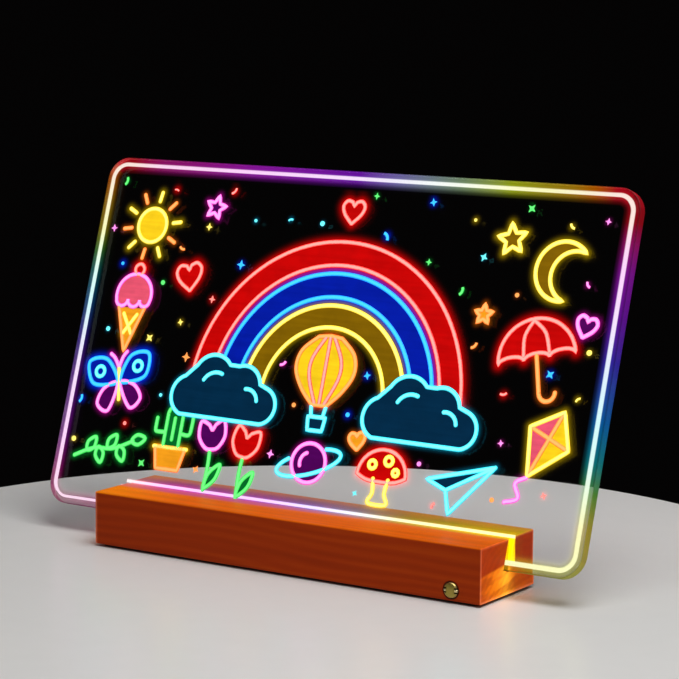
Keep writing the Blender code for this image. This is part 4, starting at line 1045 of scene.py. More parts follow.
def make_domes(tree, path, half_width, height):
    """A low dome on both ends of every open path."""
    place = own_place(tree)
    distance = distance_from_axis(tree, X=place["X"], Y=place["Y"])
    dome = node(tree, "GeometryNodeMeshUVSphere", {
        "Segments": DOME_SEGMENTS, "Rings": DOME_RINGS, "Radius": 1.0,
    })
    dome = stored(tree, dome.outputs["Mesh"], "across", distance)
    top_only = node(tree, "ShaderNodeCombineXYZ", {
        "X": place["X"], "Y": place["Y"], "Z": maths(tree, "MAXIMUM", place["Z"], 0.0),
    })
    dome = node(tree, "GeometryNodeSetPosition", {"Geometry": dome, "Position": top_only.outputs[0]})
    ends = node(tree, "GeometryNodeCurveEndpointSelection").outputs[0]
    is_open = maths(tree, "SUBTRACT", 1.0, node(tree, "GeometryNodeInputSplineCyclic").outputs[0])
    size = node(tree, "ShaderNodeCombineXYZ", {"X": half_width, "Y": half_width, "Z": height})
    return node(tree, "GeometryNodeInstanceOnPoints", {
        "Points": path, "Selection": maths(tree, "MULTIPLY", ends, is_open),
        "Instance": dome.outputs[0], "Scale": size.outputs[0],
    }).outputs[0]


def make_stroke_tree():
    """Ribbons with domed ends along every path, from the stroke's width and height."""
    tree, start, end = geometry_tree("marker stroke", (
        ("Width", "NodeSocketFloat"), ("Height", "NodeSocketFloat"), ("Ink", "NodeSocketMaterial"),
    ))
    half_width = maths(tree, "MULTIPLY", start.outputs["Width"], 0.5)
    height = start.outputs["Height"]
    path = node(tree, "GeometryNodeMeshToCurve", {"Mesh": start.outputs["Geometry"]}).outputs[0]
    ribbons = make_ribbon(tree, path, half_width, height)
    domes = make_domes(tree, path, half_width, height)
    tree_end(tree, joined(tree, ribbons, domes), start.outputs["Ink"], end)
    return tree


STROKE_TREE = make_stroke_tree()
print("stroke tree:", len(STROKE_TREE.nodes), "nodes")

# %% [markdown]
# The flat areas are thin plates of ink. Their tree fills each outline, pushes the face up by the ink's
# thickness and closes the underside, so that every area is a solid too.

# %% Wash tree
PLATE_WELD = 0.001 * MM


def make_plate(tree, outline, thickness):
    """A closed plate from each closed outline."""
    number = node(tree, "GeometryNodeInputIndex").outputs[0]
    face = node(tree, "GeometryNodeFillCurve", {"Curve": outline, "Group ID": number}).outputs[0]
    raised = node(tree, "GeometryNodeExtrudeMesh", {
        "Mesh": face, "Offset Scale": thickness, "Individual": False,
    })
    under = node(tree, "GeometryNodeFlipFaces", {"Mesh": face})
    both = joined(tree, raised.outputs["Mesh"], under.outputs[0])
    closed = node(tree, "GeometryNodeMergeByDistance", {"Geometry": both, "Distance": PLATE_WELD})
    return closed.outputs[0]


def make_wash_tree():
    """A plate for every closed path, from the ink's thickness."""
    tree, start, end = geometry_tree("marker wash", (
        ("Thickness", "NodeSocketFloat"), ("Ink", "NodeSocketMaterial"),
    ))
    outline = node(tree, "GeometryNodeMeshToCurve", {"Mesh": start.outputs["Geometry"]}).outputs[0]
    tree_end(tree, make_plate(tree, outline, start.outputs["Thickness"]), start.outputs["Ink"], end)
    return tree


WASH_TREE = make_wash_tree()
print("wash tree:", len(WASH_TREE.nodes), "nodes")

# %% [markdown]
# Small sparks, dots and dashes fill the gaps between the motifs. They repeat, so a third tree puts one of
# the three on each point of a list and turns and sizes it at random, with a fixed seed. The list itself
# is made by trying random places and keeping those that are clear of every stroke and of each other.

# %% Confetti tree
# The three shapes are made at a size of about 1, with this thickness, and scaled where they are placed.
SHAPE_THICKNESS = 0.15
SPARK = {"Points": 4, "Inner Radius": 0.40, "Outer Radius": 1.0}
DOT = {"Resolution": 16, "Radius": 0.55}
DASH_RADIUS = 1.2
DASH_SWEEP = 1.5
DASH_POINTS = 10
DASH_HALF_WIDTH = 0.34
FLAT_ACROSS = 0.55
SIZE_SPREAD = (0.65, 1.15)


def random_value(tree, low, high, seed, kind="FLOAT"):
    """A random number for each point."""
    made = node(tree, "FunctionNodeRandomValue", data_type=kind)
    wanted = {"FLOAT": "NodeSocketFloat", "INT": "NodeSocketInt"}[kind]
    sockets = [socket for socket in made.inputs if socket.bl_idname.startswith(wanted) and socket.enabled]
    for socket in sockets:
        if socket.name == "Min":
            feed(tree, socket, low)
        elif socket.name == "Max":
            feed(tree, socket, high)
    feed(tree, made.inputs["Seed"], seed)
    return next(socket for socket in made.outputs if socket.enabled)


def flat_shape(tree, curve):
    """A small plate from a curve, in the colour halfway between a stroke's middle and its edge."""
    return stored(tree, make_plate(tree, curve, SHAPE_THICKNESS), "across", FLAT_ACROSS)


def dash_shape(tree):
    """A short bent ribbon round zero."""
    curve = node(tree, "GeometryNodeCurveArc", {
        "Resolution": DASH_POINTS, "Radius": DASH_RADIUS, "Sweep Angle": DASH_SWEEP,
    })
    half_sweep = DASH_SWEEP / 2
    middle = (-DASH_RADIUS * math.cos(half_sweep), -DASH_RADIUS * math.sin(half_sweep), 0)
    centred = node(tree, "GeometryNodeTransform", {
        "Geometry": curve.outputs["Curve"], "Translation": middle,
    })
    return make_ribbon(tree, centred.outputs[0], DASH_HALF_WIDTH, SHAPE_THICKNESS)


def make_confetti_tree():
    """One of three shapes on each point, at random angles and sizes."""
    tree, start, end = geometry_tree("confetti", (
        ("Size", "NodeSocketFloat"), ("Thickness", "NodeSocketFloat"), ("Seed", "NodeSocketInt"),
        ("Ink", "NodeSocketMaterial"),
    ))
    spark = node(tree, "GeometryNodeCurveStar", SPARK)
    dot = node(tree, "GeometryNodeCurvePrimitiveCircle", DOT)
    kinds = node(tree, "GeometryNodeGeometryToInstance")
    for shape in (
        flat_shape(tree, spark.outputs["Curve"]),
        flat_shape(tree, dot.outputs["Curve"]),
        dash_shape(tree),
    ):
        tree.links.new(shape, kinds.inputs[0])
    seed = start.outputs["Seed"]
    turn = node(tree, "ShaderNodeCombineXYZ", {"Z": random_value(tree, 0.0, 2 * math.pi, seed)})
    size = maths(tree, "MULTIPLY", start.outputs["Size"], random_value(tree, *SIZE_SPREAD, seed))
    thickness = maths(tree, "DIVIDE", start.outputs["Thickness"], SHAPE_THICKNESS)
    scale = node(tree, "ShaderNodeCombineXYZ", {"X": size, "Y": size, "Z": thickness})
    spread = node(tree, "GeometryNodeInstanceOnPoints", {
        "Points": start.outputs["Geometry"], "Instance": kinds.outputs[0], "Pick Instance": True,
        "Instance Index": random_value(tree, 0, 2, seed, "INT"),
        "Rotation": turn.outputs[0], "Scale": scale.outputs[0],
    })
    tree_end(tree, spread.outputs[0], start.outputs["Ink"], end)
    return tree


CONFETTI_TREE = make_confetti_tree()
print("confetti tree:", len(CONFETTI_TREE.nodes), "nodes")

# %% Places of the confetti
CONFETTI_SEED = 11
CONFETTI_TRIES = 4000
CONFETTI_CLEAR = 7.5
CONFETTI_APART = 22.0
DRAWING_AREA = (-172.0, 172.0, 28.0, 204.0)
CONFETTI_INKS = ("blue", "yellow", "pink", "green", "cyan", "orange", "red")


def search_tree(points):
    """A tree for finding the nearest of many flat points."""
    tree = kdtree.KDTree(len(points))
    for index, (x, y) in enumerate(points):
        tree.insert((x, y, 0), index)
    tree.balance()
    return tree


def inside(outline, x, y):
    """Whether a point is inside an outline: a line to the right crosses it an odd number of times."""
    crossings = 0
    for (x1, y1), (x2, y2) in zip(outline, [*outline[1:], outline[0]]):
        if (y1 > y) != (y2 > y) and x < x1 + (y - y1) * (x2 - x1) / (y2 - y1):
            crossings += 1
    return crossings % 2 == 1


def scatter_confetti():
    """Random places that are clear of the drawing, shared out among the inks."""
    left_end, right_end, low_end, high_end = DRAWING_AREA
    strokes = search_tree([point for paths in LINES.values() for path, _ in paths for point in path])
    areas = [outline for outlines in WASHES.values() for outline in outlines]
    chance = random.Random(CONFETTI_SEED)
    kept = []
    for _ in range(CONFETTI_TRIES):
        x, y = chance.uniform(left_end, right_end), chance.uniform(low_end, high_end)
        if strokes.find((x, y, 0))[2] < CONFETTI_CLEAR or any(inside(area, x, y) for area in areas):
            continue
        if all(math.dist((x, y), other) > CONFETTI_APART for other in kept):
            kept.append((x, y))
    return {ink: kept[number::len(CONFETTI_INKS)] for number, ink in enumerate(CONFETTI_INKS)}


CONFETTI = scatter_confetti()
print("confetti:", sum(len(points) for points in CONFETTI.values()), "pieces")

# %% [markdown]
# The ink is the brightest in the middle of a stroke, where the pen leaves most of it, and deeper at the
# edge. The flat areas are darker than the lines round them and show the pen's back-and-forth strokes.

# %% Ink materials
LINE_STRENGTH = 0.88
LINE_GRAIN = 900.0
LINE_WOBBLE = 0.08
CORE_END, EDGE_START = 0.35, 0.92
PIGMENT_SHARE = 0.6
WASH_STRENGTH = 0.95
WASH_PIGMENT = 0.2


def make_line_ink(name, ink):
    """Light in the middle of a stroke and deep at its edge, with a slightly uneven border between."""
    material, tree, shader = new_material(name + " ink line")
    across = attribute(tree, "across").outputs["Fac"]
    grain = noise(tree, object_place(tree), LINE_GRAIN, detail=2.0)
    uneven = maths(tree, "ADD", across, between(tree, grain, 0.3, 0.7, -LINE_WOBBLE, LINE_WOBBLE))
    colour = mix(tree, between(tree, uneven, CORE_END, EDGE_START), ink["core"], ink["edge"])
    shade(tree, shader, {
        "Base Color": mix(tree, PIGMENT_SHARE, colour, ink["edge"]),
        "Roughness": between(tree, grain, 0.2, 0.8, 0.45, 0.65),
        "Emission Color": colour,
        "Emission Strength": LINE_STRENGTH,
    })
    return material


def make_wash_ink(name, colour):
    """A thinner, darker layer with the pen's long streaks and with cloudy patches."""
    material, tree, shader = new_material(name + " ink wash")
    place = object_place(tree)
    streaks = noise(tree, place, 20.0, stretch=(1, 22, 22))
    patches = noise(tree, place, 90.0, detail=2.0)
    amount = maths(
        tree,
        "MULTIPLY",
        between(tree, streaks, 0.3, 0.7, 0.90, 1.06),
        between(tree, patches, 0.3, 0.7, 0.90, 1.05),
    )
    shade(tree, shader, {
        "Base Color": tuple(WASH_PIGMENT * channel for channel in colour),
        "Roughness": between(tree, streaks, 0.2, 0.8, 0.5, 0.7),
        "Specular IOR Level": 0.08,
        "Emission Color": tinted(tree, colour, amount),
        "Emission Strength": WASH_STRENGTH,
    })
    return material


line_inks = {name: make_line_ink(name, ink) for name, ink in INKS.items()}
wash_inks = {name: make_wash_ink(name, colour) for name, colour in WASH_COLOURS.items()}
print("ink materials:", len(line_inks) + len(wash_inks))

# %% [markdown]
# Every ink becomes pieces of its own. The points are laid out flat, in the sheet's own coordinates, the
# trees turn them into solid ink, and the result is baked to a plain mesh and put on the front of the
# sheet. The clouds are drawn over the rainbow, so they form a second layer on top of the first.

# %% Lay the ink on the sheet
LINE_WIDTH = 2.7 * MM
LINE_HEIGHT = 0.30 * MM
WASH_THICKNESS = 0.06 * MM
INK_GAP = 0.03 * MM
LAYER_HEIGHT = 0.36 * MM
CONFETTI_SIZE = 2.6 * MM


def bake(holder, name):
    """The plain mesh that an object's modifiers make, as a new object in the old one's place."""
    graph = bpy.context.evaluated_depsgraph_get()
    mesh = bpy.data.meshes.new_from_object(
        holder.evaluated_get(graph), preserve_all_data_layers=True, depsgraph=graph
    )
    bpy.data.objects.remove(holder)
    mesh.name = name
    made = bpy.data.objects.new(name, mesh)
    bpy.context.scene.collection.objects.link(made)
    return made


def grow(name, tree, points, edges, **values):
    """Runs a Geometry Nodes tree on points and edges, with its inputs set by name, and bakes it."""
    mesh = bpy.data.meshes.new(name)
    mesh.from_pydata(points, edges, [])
    holder = bpy.data.objects.new(name + "_path", mesh)
    bpy.context.scene.collection.objects.link(holder)
    modifier = holder.modifiers.new("grow", "NODES")
    modifier.node_group = tree
    for item in tree.interface.items_tree:
        if item.in_out == "INPUT" and item.name in values:
            modifier[item.identifier] = values[item.name]
    return bake(holder, name)


def put_on_sheet(piece, height):
    """Moves a piece made in flat sheet coordinates to its height above the sheet's front face."""
    lifted = Matrix.Translation((0, 0, SHEET_THICKNESS / 2 + height))
    shape = bmesh.new()
    shape.from_mesh(piece.data)
    bmesh.ops.transform(shape, matrix=SHEET_PLACE @ lifted, verts=shape.verts)
    bmesh.ops.recalc_face_normals(shape, faces=shape.faces)
    shape.to_mesh(piece.data)
    shape.free()
    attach(piece, "panel")
    print(piece.name, len(piece.data.polygons), "faces")


def path_of(strokes):
    """Strokes in millimetres as one list of points and edges, in metres."""
    points, edges = [], []
    for stroke, closed in strokes:
        first = len(points)
        points.extend((x * MM, y * MM, 0.0) for x, y in stroke)
        edges.extend((index, index + 1) for index in range(first, len(points) - 1))
        if closed:
            edges.append((len(points) - 1, first))
    return points, edges


for (colour, layer), outlines in WASHES.items():
    piece = grow(f"{colour}_areas_{layer}", WASH_TREE, *path_of([(outline, True) for outline in outlines]),
                 Thickness=WASH_THICKNESS, Ink=wash_inks[colour])
    put_on_sheet(piece, INK_GAP + layer * LAYER_HEIGHT)
for (ink, layer), strokes in LINES.items():
    piece = grow(f"{ink}_lines_{layer}", STROKE_TREE, *path_of(strokes),
                 Width=LINE_WIDTH, Height=LINE_HEIGHT, Ink=line_inks[ink])
    put_on_sheet(piece, 2 * INK_GAP + layer * LAYER_HEIGHT)
for number, (ink, points) in enumerate(CONFETTI.items()):
    piece = grow(f"{ink}_confetti", CONFETTI_TREE, [(x * MM, y * MM, 0.0) for x, y in points], [],
                 Size=CONFETTI_SIZE, Thickness=LINE_HEIGHT, Seed=number, Ink=line_inks[ink])
    put_on_sheet(piece, 2 * INK_GAP)

# %% [markdown]
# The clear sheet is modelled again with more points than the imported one, because its light is stored on
# them. It is a set of rings that follow the rounded outline: over the bevelled edge, down into the
# engraved line and up again, and then a plain grid over the middle of the front. The groove is frosted and
# the sheet's edge is satin, so both get a material of their own.

# %% The sheet's rings
CORNER_RADIUS = 14 * MM
CORNER_STEPS = 16
GRID_STEP = 1.35 * MM
EDGE_BEVEL = 0.4 * MM
LINE_INSET = 4.3 * MM
GROOVE_HALF = 1.25 * MM
GROOVE_DEPTH = 0.5 * MM
GROOVE_WALL = 0.2 * MM
FRONT_INSETS = (CORNER_RADIUS, 11 * MM, 8.5 * MM, 6.8 * MM)
RIM_INSET = 1.6 * MM
BACK_INSET = 6 * MM
CLEAR, FROSTED, EDGE = range(3)


def sheet_ring(inset):
    """Points round the sheet at an inset from its edge, the same number for every inset."""
    half_width = SHEET_WIDTH / 2 - CORNER_RADIUS
    low, high = CORNER_RADIUS, SHEET_HEIGHT - CORNER_RADIUS
    long_steps = round(2 * half_width / GRID_STEP)
    short_steps = round((high - low) / GRID_STEP)
    radius = CORNER_RADIUS - inset
    centres = ((half_width, low), (half_width, high), (-half_width, high), (-half_width, low))
    points = []
    for corner, (x, y) in enumerate(centres):
        for step in range(CORNER_STEPS + 1):
            angle = math.radians(90 * (corner - 1 + step / CORNER_STEPS))
            points.append((x + radius * math.cos(angle), y + radius * math.sin(angle)))
        next_x, next_y = centres[(corner + 1) % 4]
        out_x, out_y = radius * math.cos(angle), radius * math.sin(angle)
        steps = short_steps if corner % 2 == 0 else long_steps
        for step in range(1, steps):
            share = step / steps
            points.append((x + (next_x - x) * share + out_x, y + (next_y - y) * share + out_y))
    return points, (half_width, low, high, long_steps, short_steps)


def sheet_profile():
    """The rings from the front's middle round to the back: inset, height, place past the line, finish."""
    half = SHEET_THICKNESS / 2
    floor = half - GROOVE_DEPTH
    front_face = (
        *((inset, half, CLEAR) for inset in FRONT_INSETS),
        (LINE_INSET + GROOVE_HALF, half, FROSTED),
        (LINE_INSET + GROOVE_HALF - GROOVE_WALL, floor, FROSTED),
        (LINE_INSET, floor, FROSTED),
        (LINE_INSET - GROOVE_HALF + GROOVE_WALL, floor, FROSTED),
        (LINE_INSET - GROOVE_HALF, half, CLEAR),
        (RIM_INSET, half, CLEAR),
        (EDGE_BEVEL, half, EDGE),
    )
    edge_and_back = (
        (0.0, half - EDGE_BEVEL, EDGE),
        (0.0, 0.0, EDGE),
        (0.0, EDGE_BEVEL - half, EDGE),
        (EDGE_BEVEL, -half, CLEAR),
        (BACK_INSET, -half, CLEAR),
    )
    return [
        *((inset, height, inset - LINE_INSET, finish) for inset, height, finish in front_face),
        *((inset, height, -LINE_INSET - (half - height) - inset, finish)
          for inset, height, finish in edge_and_back),
    ]


print("sheet profile:", len(sheet_profile()), "rings")

# %% The sheet's mesh
SHEET_WELD = 0.002 * MM


def add_grid(shape, layer, grid, height, past):
    """The plain middle of a face, as a grid whose edge meets the innermost ring."""
    half_width, low, high, long_steps, short_steps = grid
    rows = []
    for row in range(short_steps + 1):
        y = low + (high - low) * row / short_steps
        xs = (-half_width + 2 * half_width * column / long_steps for column in range(long_steps + 1))
        rows.append([shape.verts.new((x, y, height)) for x in xs])
    for below, above in zip(rows, rows[1:]):
        for column in range(long_steps):
            shape.faces.new((below[column], below[column + 1], above[column + 1], above[column]))
    for point in (point for row in rows for point in row):
        point[layer] = past / MM


def make_sheet():
    """The whole sheet from its rings, with each point's place past the line stored on it."""
    shape = bmesh.new()
    rim_place = shape.verts.layers.float.new("rim_place")
    rings = sheet_profile()
    loops = []
    for inset, height, past, _ in rings:
        points, grid = sheet_ring(inset)
        loop = [shape.verts.new((x, y, height)) for x, y in points]
        for point in loop:
            point[rim_place] = past / MM
        loops.append(loop)
    count = len(loops[0])
    for (_, _, _, finish), inner, outer in zip(rings, loops, loops[1:]):
        for index in range(count):
            following = (index + 1) % count
            face = shape.faces.new((inner[index], outer[index], outer[following], inner[following]))
            face.material_index = finish
    _, face_height, face_past, _ = rings[0]
    add_grid(shape, rim_place, grid, face_height, face_past)
    shape.faces.new(loops[-1])
    bmesh.ops.remove_doubles(shape, verts=shape.verts, dist=SHEET_WELD)
    bmesh.ops.recalc_face_normals(shape, faces=shape.faces)
    mesh = bpy.data.meshes.new("writing_sheet")
    shape.to_mesh(mesh)
    shape.free()
    return mesh


sheet_mesh = make_sheet()
print("sheet:", len(sheet_mesh.vertices), "points,", len(sheet_mesh.polygons), "faces")

# %% [markdown]
# The light in the sheet is worked out once, point by point, and stored as attributes: the colour of the
# rainbow at the nearest place of the rim, the paler colour of the line there, and the glow that every
# stroke of ink throws into the sheet round it, which fades within a few millimetres. Each side has its
# own list of colours with their strengths, because the lamps do not light all sides equally, and for the
# same reason the line shines over less of its width along the top and at the lower left.

# %% Light in the sheet
RIM_LIGHT = {
    "red": ((1.00, 0.01, 0.03), (1.00, 0.80, 0.72)),
    "orange": ((1.00, 0.22, 0.00), (1.00, 0.86, 0.66)),
    "amber": ((0.90, 0.46, 0.01), (1.00, 0.93, 0.62)),
    "olive": ((0.76, 0.58, 0.02), (1.00, 0.98, 0.50)),
    "lemon": ((0.62, 0.66, 0.06), (1.00, 1.00, 0.54)),
    "green": ((0.16, 0.62, 0.06), (0.86, 1.00, 0.74)),
    "teal": ((0.01, 0.50, 0.52), (0.72, 1.00, 0.94)),
    "blue": ((0.01, 0.30, 1.00), (0.64, 0.98, 1.00)),
    "indigo": ((0.10, 0.06, 1.00), (0.78, 0.86, 1.00)),
    "violet": ((0.34, 0.02, 0.86), (0.94, 0.76, 1.00)),
    "purple": ((0.58, 0.02, 0.78), (1.00, 0.66, 1.00)),
    "magenta": ((0.86, 0.02, 0.42), (1.00, 0.68, 0.90)),
    "pink": ((0.80, 0.26, 0.38), (1.00, 0.74, 0.88)),
    "lavender": ((0.36, 0.30, 0.84), (0.90, 0.87, 1.00)),
    "mist": ((0.36, 0.48, 0.54), (0.93, 0.98, 0.97)),
    "sage": ((0.40, 0.60, 0.32), (0.96, 1.00, 0.88)),
    "lime": ((0.70, 0.84, 0.02), (1.00, 1.00, 0.58)),
}
RIM_STOPS = {
    "left": ((0.0, "pink", 0.6), (0.09, "magenta", 0.6), (0.19, "purple", 0.5), (0.38, "violet", 0.5),
             (0.49, "indigo", 0.4), (0.57, "blue", 0.35), (0.665, "teal", 0.4), (0.73, "green", 0.5),
             (0.79, "olive", 0.6), (0.87, "amber", 0.7), (0.935, "orange", 0.8), (1.0, "red", 1.0)),
    "top": ((0.0, "red", 1.0), (0.05, "red", 0.9), (0.11, "magenta", 0.9), (0.30, "purple", 1.25),
            (0.50, "violet", 1.25), (0.57, "lavender", 1.3), (0.635, "mist", 1.3), (0.69, "sage", 1.2),
            (0.775, "lime", 1.2), (0.84, "olive", 1.15), (0.885, "amber", 1.05), (0.92, "orange", 1.15),
            (0.955, "red", 1.15), (1.0, "red", 1.15)),
    "right": ((0.0, "lemon", 0.9), (0.13, "olive", 0.9), (0.22, "green", 0.9), (0.29, "teal", 1.0),
              (0.40, "blue", 1.0), (0.55, "indigo", 1.0), (0.66, "violet", 1.0), (0.78, "purple", 1.0),
              (0.85, "magenta", 0.9), (0.91, "red", 0.8), (1.0, "red", 0.8)),
    "bottom": ((0.0, "pink", 0.6), (0.15, "magenta", 0.7), (0.35, "purple", 0.8), (0.6, "lavender", 0.8),
               (0.8, "olive", 0.9), (1.0, "lemon", 0.9)),
}
LINE_WIDTHS = {
    "left": ((0.0, 0.65), (0.06, 1.0)),
    "top": ((0.0, 1.0), (0.05, 0.8), (0.95, 0.8), (1.0, 1.0)),
    "right": ((0.0, 1.0), (1.0, 1.0)),
    "bottom": ((0.0, 0.65), (0.3, 0.65), (0.6, 1.0)),
}
EDGE_SHARE = {"left": 0.25, "top": 0.6, "right": 0.75, "bottom": 0.8}
EDGE_REACH = 0.5 * MM
WOOD_REACH = (2 * MM, 14 * MM)
WOOD_STRENGTHS = (0.2, 1.0)


def blended(share, shares, colours):
    """The colour at a share of the way along a row of colours."""
    return [float(np.interp(share, shares, channel)) for channel in zip(*colours)]


def rim_light(x, y, on_face):
    """The halo's colour and strength, and the line's colour and width, at the nearest place of the rim."""
    gaps = {"left": x + SHEET_WIDTH / 2, "right": SHEET_WIDTH / 2 - x, "bottom": y, "top": SHEET_HEIGHT - y}
    side = min(gaps, key=gaps.get)
    share = y / SHEET_HEIGHT if side in ("left", "right") else x / SHEET_WIDTH + 0.5
    shares, names, strengths = zip(*RIM_STOPS[side])
    halo = blended(share, shares, [RIM_LIGHT[name][0] for name in names])
    pale = blended(share, shares, [RIM_LIGHT[name][1] for name in names])
    strength = float(np.interp(share, shares, strengths))
    if gaps[side] < EDGE_REACH and not on_face:
        strength *= EDGE_SHARE[side]
    if side == "bottom" and y < LINE_INSET:
        past_wood = abs(x + SHEET_X) - BLOCK_HIGH.x
        strength *= float(np.interp(past_wood, WOOD_REACH, WOOD_STRENGTHS))
    width = float(np.interp(share, *zip(*LINE_WIDTHS[side])))
    return [*halo, strength], [*pale, width]


print("rim light:", len(RIM_LIGHT), "colours")

# %% Glow of the ink, and the light at every point
CONFETTI_GLOW = 0.75
GLOW_END = 3.0
FACE_SHARE = 0.99


def ink_light():
    """A search tree of each ink's strokes and of its confetti, with the glow that they throw."""
    found = []
    for name, ink in INKS.items():
        glow = np.array(ink["glow"])
        paths = [
            path
            for (stroke_ink, _), strokes in LINES.items() if stroke_ink == name
            for path, _ in strokes
        ]
        strokes = [point for path in paths for point in path]
        for points, share in ((strokes, 1.0), (CONFETTI.get(name), CONFETTI_GLOW)):
            if points:
                found.append((search_tree(points), ink["reach"] * share, glow * share))
    return found


def store_light(mesh):
    """Stores the halo, the line's colour and the ink's glow on every point."""
    points = np.empty(len(mesh.vertices) * 3)
    mesh.vertices.foreach_get("co", points)
    points = points.reshape(-1, 3)
    lights = ink_light()
    halo, line_colour, ink = (np.ones((len(points), 4)) for _ in range(3))
    ink[:, :3] = 0
    for index, (x, y, height) in enumerate(points):
        on_face = abs(height) > FACE_SHARE * SHEET_THICKNESS / 2
        halo[index], line_colour[index] = rim_light(x, y, on_face)
        if height > 0:
            for tree, reach, glow in lights:
                distance = tree.find((x / MM, y / MM, 0))[2]
                if distance < GLOW_END * reach:
                    ink[index, :3] += glow * math.exp(-(distance / reach) ** 2)
    for name, colours in (("rim_colour", halo), ("line_colour", line_colour), ("ink_glow", ink)):
        mesh.attributes.new(name, "FLOAT_COLOR", "POINT").data.foreach_set("color", colours.ravel())


store_light(sheet_mesh)
print("light stored on", len(sheet_mesh.vertices), "points")

# %% [markdown]
# The sheet is clear acrylic: nearly colourless and very smooth. Real acrylic has a refractive index of
# 1.49, and its back face then mirrors the glowing ink as faint second strokes. The photo shows none, so
# the index is set lower here, which dims them. The sheet's light comes from three places, which are
# added: the halo on both sides of the engraved line, the bright band where the sheet comes out of the
# slot, and the glow round the ink. The engraved line is frosted and nearly white, and the sawn edge of
# the sheet is satin, so it glows evenly in the rim's colour.

# %% Halo and engraved line
HALO_START, HALO_END = -13.0, 10.0
HALO = ((-13.0, 0.0), (-10.6, 0.0), (-10.3, 0.28), (-4.8, 0.34), (-4.2, 0.12), (-3.0, 0.26), (-1.3, 0.36),
        (1.3, 0.36), (2.6, 0.22), (4.2, 0.06), (6.0, 0.0))
LINE_CORE = 1.0
LINE_SOFT = 1.7
LINE_BRIGHTNESS = 0.97


def halo_light(tree):
    """The light that the engraved line throws to both of its sides and round the edge of the sheet."""
    place = attribute(tree, "rim_place").outputs["Fac"]
    share = between(tree, place, HALO_START, HALO_END, smooth=False)
    reach = HALO_END - HALO_START
    amount = ramp(tree, share, [((at - HALO_START) / reach, (value,) * 3) for at, value in HALO])
    rim = attribute(tree, "rim_colour")
    return tinted(tree, mix(tree, 1.0, rim.outputs["Color"], amount, blend="MULTIPLY"), rim.outputs["Alpha"])


def line_light(tree):
    """The engraved line's pale colour, which passes into the halo just outside the groove."""
    distance = maths(tree, "ABSOLUTE", attribute(tree, "rim_place").outputs["Fac"])
    line = attribute(tree, "line_colour")
    distance = maths(tree, "DIVIDE", distance, line.outputs["Alpha"])
    pale = tinted(tree, line.outputs["Color"], LINE_BRIGHTNESS)
    return mix(tree, between(tree, distance, LINE_CORE, LINE_SOFT), pale, halo_light(tree))


print("halo:", len(HALO), "steps across the rim")

# %% Bright band at the slot
BAND = 1.2 * MM
BAND_TOP = (0.4 * MM, -0.2 * MM)
BAND_FOOT = (-0.7 * MM, -0.2 * MM)
BAND_LEFT = (-0.3 * MM, 0.3 * MM)
BAND_RIGHT = (-1.2 * MM, -2.2 * MM)
BAND_WHITE = 0.60
BAND_STRENGTH = 0.92
BAND_MARGIN = 3.0 * MM
MARGIN_STRENGTH = 0.16
END_STRIP = 5.2 * MM
STRIP_INNER_SHIFT = 1.4 * MM
STRIP_INNER_FADE = 0.6 * MM
STRIP_OUTER_SHIFT = 2.0 * MM
STRIP_OUTER_FADE = 1.0 * MM
STRIP_TOP = (0.3 * MM, -0.3 * MM)
STRIP_FOOT = (-1.0 * MM, 0.5 * MM)
STRIP_LEFT_DROP = 2.0 * MM
STRIP_STRENGTH = 1.05


def end_strips(tree, above, along):
    """The strips at both open ends of the slot, which shift outwards on their way down to the line."""
    line_height = LINE_INSET - SLOT_TOP
    down = between(tree, above, 0.0, line_height)
    inner = maths(tree, "MULTIPLY", down, STRIP_INNER_SHIFT)
    outer = maths(tree, "MULTIPLY", down, STRIP_OUTER_SHIFT)
    outer = maths(tree, "ADD", outer, END_STRIP - STRIP_OUTER_FADE)
    beyond = maths(tree, "SUBTRACT", maths(tree, "ABSOLUTE", along), BLOCK_HIGH.x)
    on_left = maths(tree, "LESS_THAN", along, 0.0)
    from_top = maths(tree, "ADD", above, maths(tree, "MULTIPLY", on_left, STRIP_LEFT_DROP))
    return maths(
        tree,
        "MULTIPLY",
        between(tree, beyond, outer, maths(tree, "SUBTRACT", outer, STRIP_OUTER_FADE)),
        between(tree, beyond, inner, maths(tree, "ADD", inner, STRIP_INNER_FADE)),
        fade_at(tree, from_top, 0.0, STRIP_TOP),
        fade_at(tree, above, line_height, STRIP_FOOT),
    )


def slot_band(tree, place):
    """The bright band where the sheet comes out of the wood, with the strips at the slot's open ends."""
    above = maths(tree, "SUBTRACT", from_sheet(tree, place, UP_SHEET), SLOT_TOP)
    along = node(tree, "ShaderNodeSeparateXYZ", {0: place}).outputs["X"]
    over_wood = maths(
        tree,
        "MULTIPLY",
        fade_at(tree, along, -BLOCK_HIGH.x, BAND_LEFT),
        fade_at(tree, along, BLOCK_HIGH.x + END_STRIP, BAND_RIGHT),
    )
    line = maths(
        tree,
        "MULTIPLY",
        fade_at(tree, above, BAND, BAND_TOP),
        over_wood,
        fade_at(tree, above, 0.0, BAND_FOOT),
        BAND_STRENGTH,
    )
    margin = between(tree, above, BAND_MARGIN, BAND, 0.0, MARGIN_STRENGTH)
    margin = maths(tree, "MULTIPLY", margin, over_wood)
    strips = maths(tree, "MULTIPLY", end_strips(tree, above, along), STRIP_STRENGTH)
    colour = slot_light(tree, place)
    pale = tinted(tree, mix(tree, BAND_WHITE, colour, WHITE), line)
    return added(tree, pale, tinted(tree, colour, maths(tree, "ADD", margin, strips)))


print("bright band", round(BAND / MM, 1), "mm high over the wood")

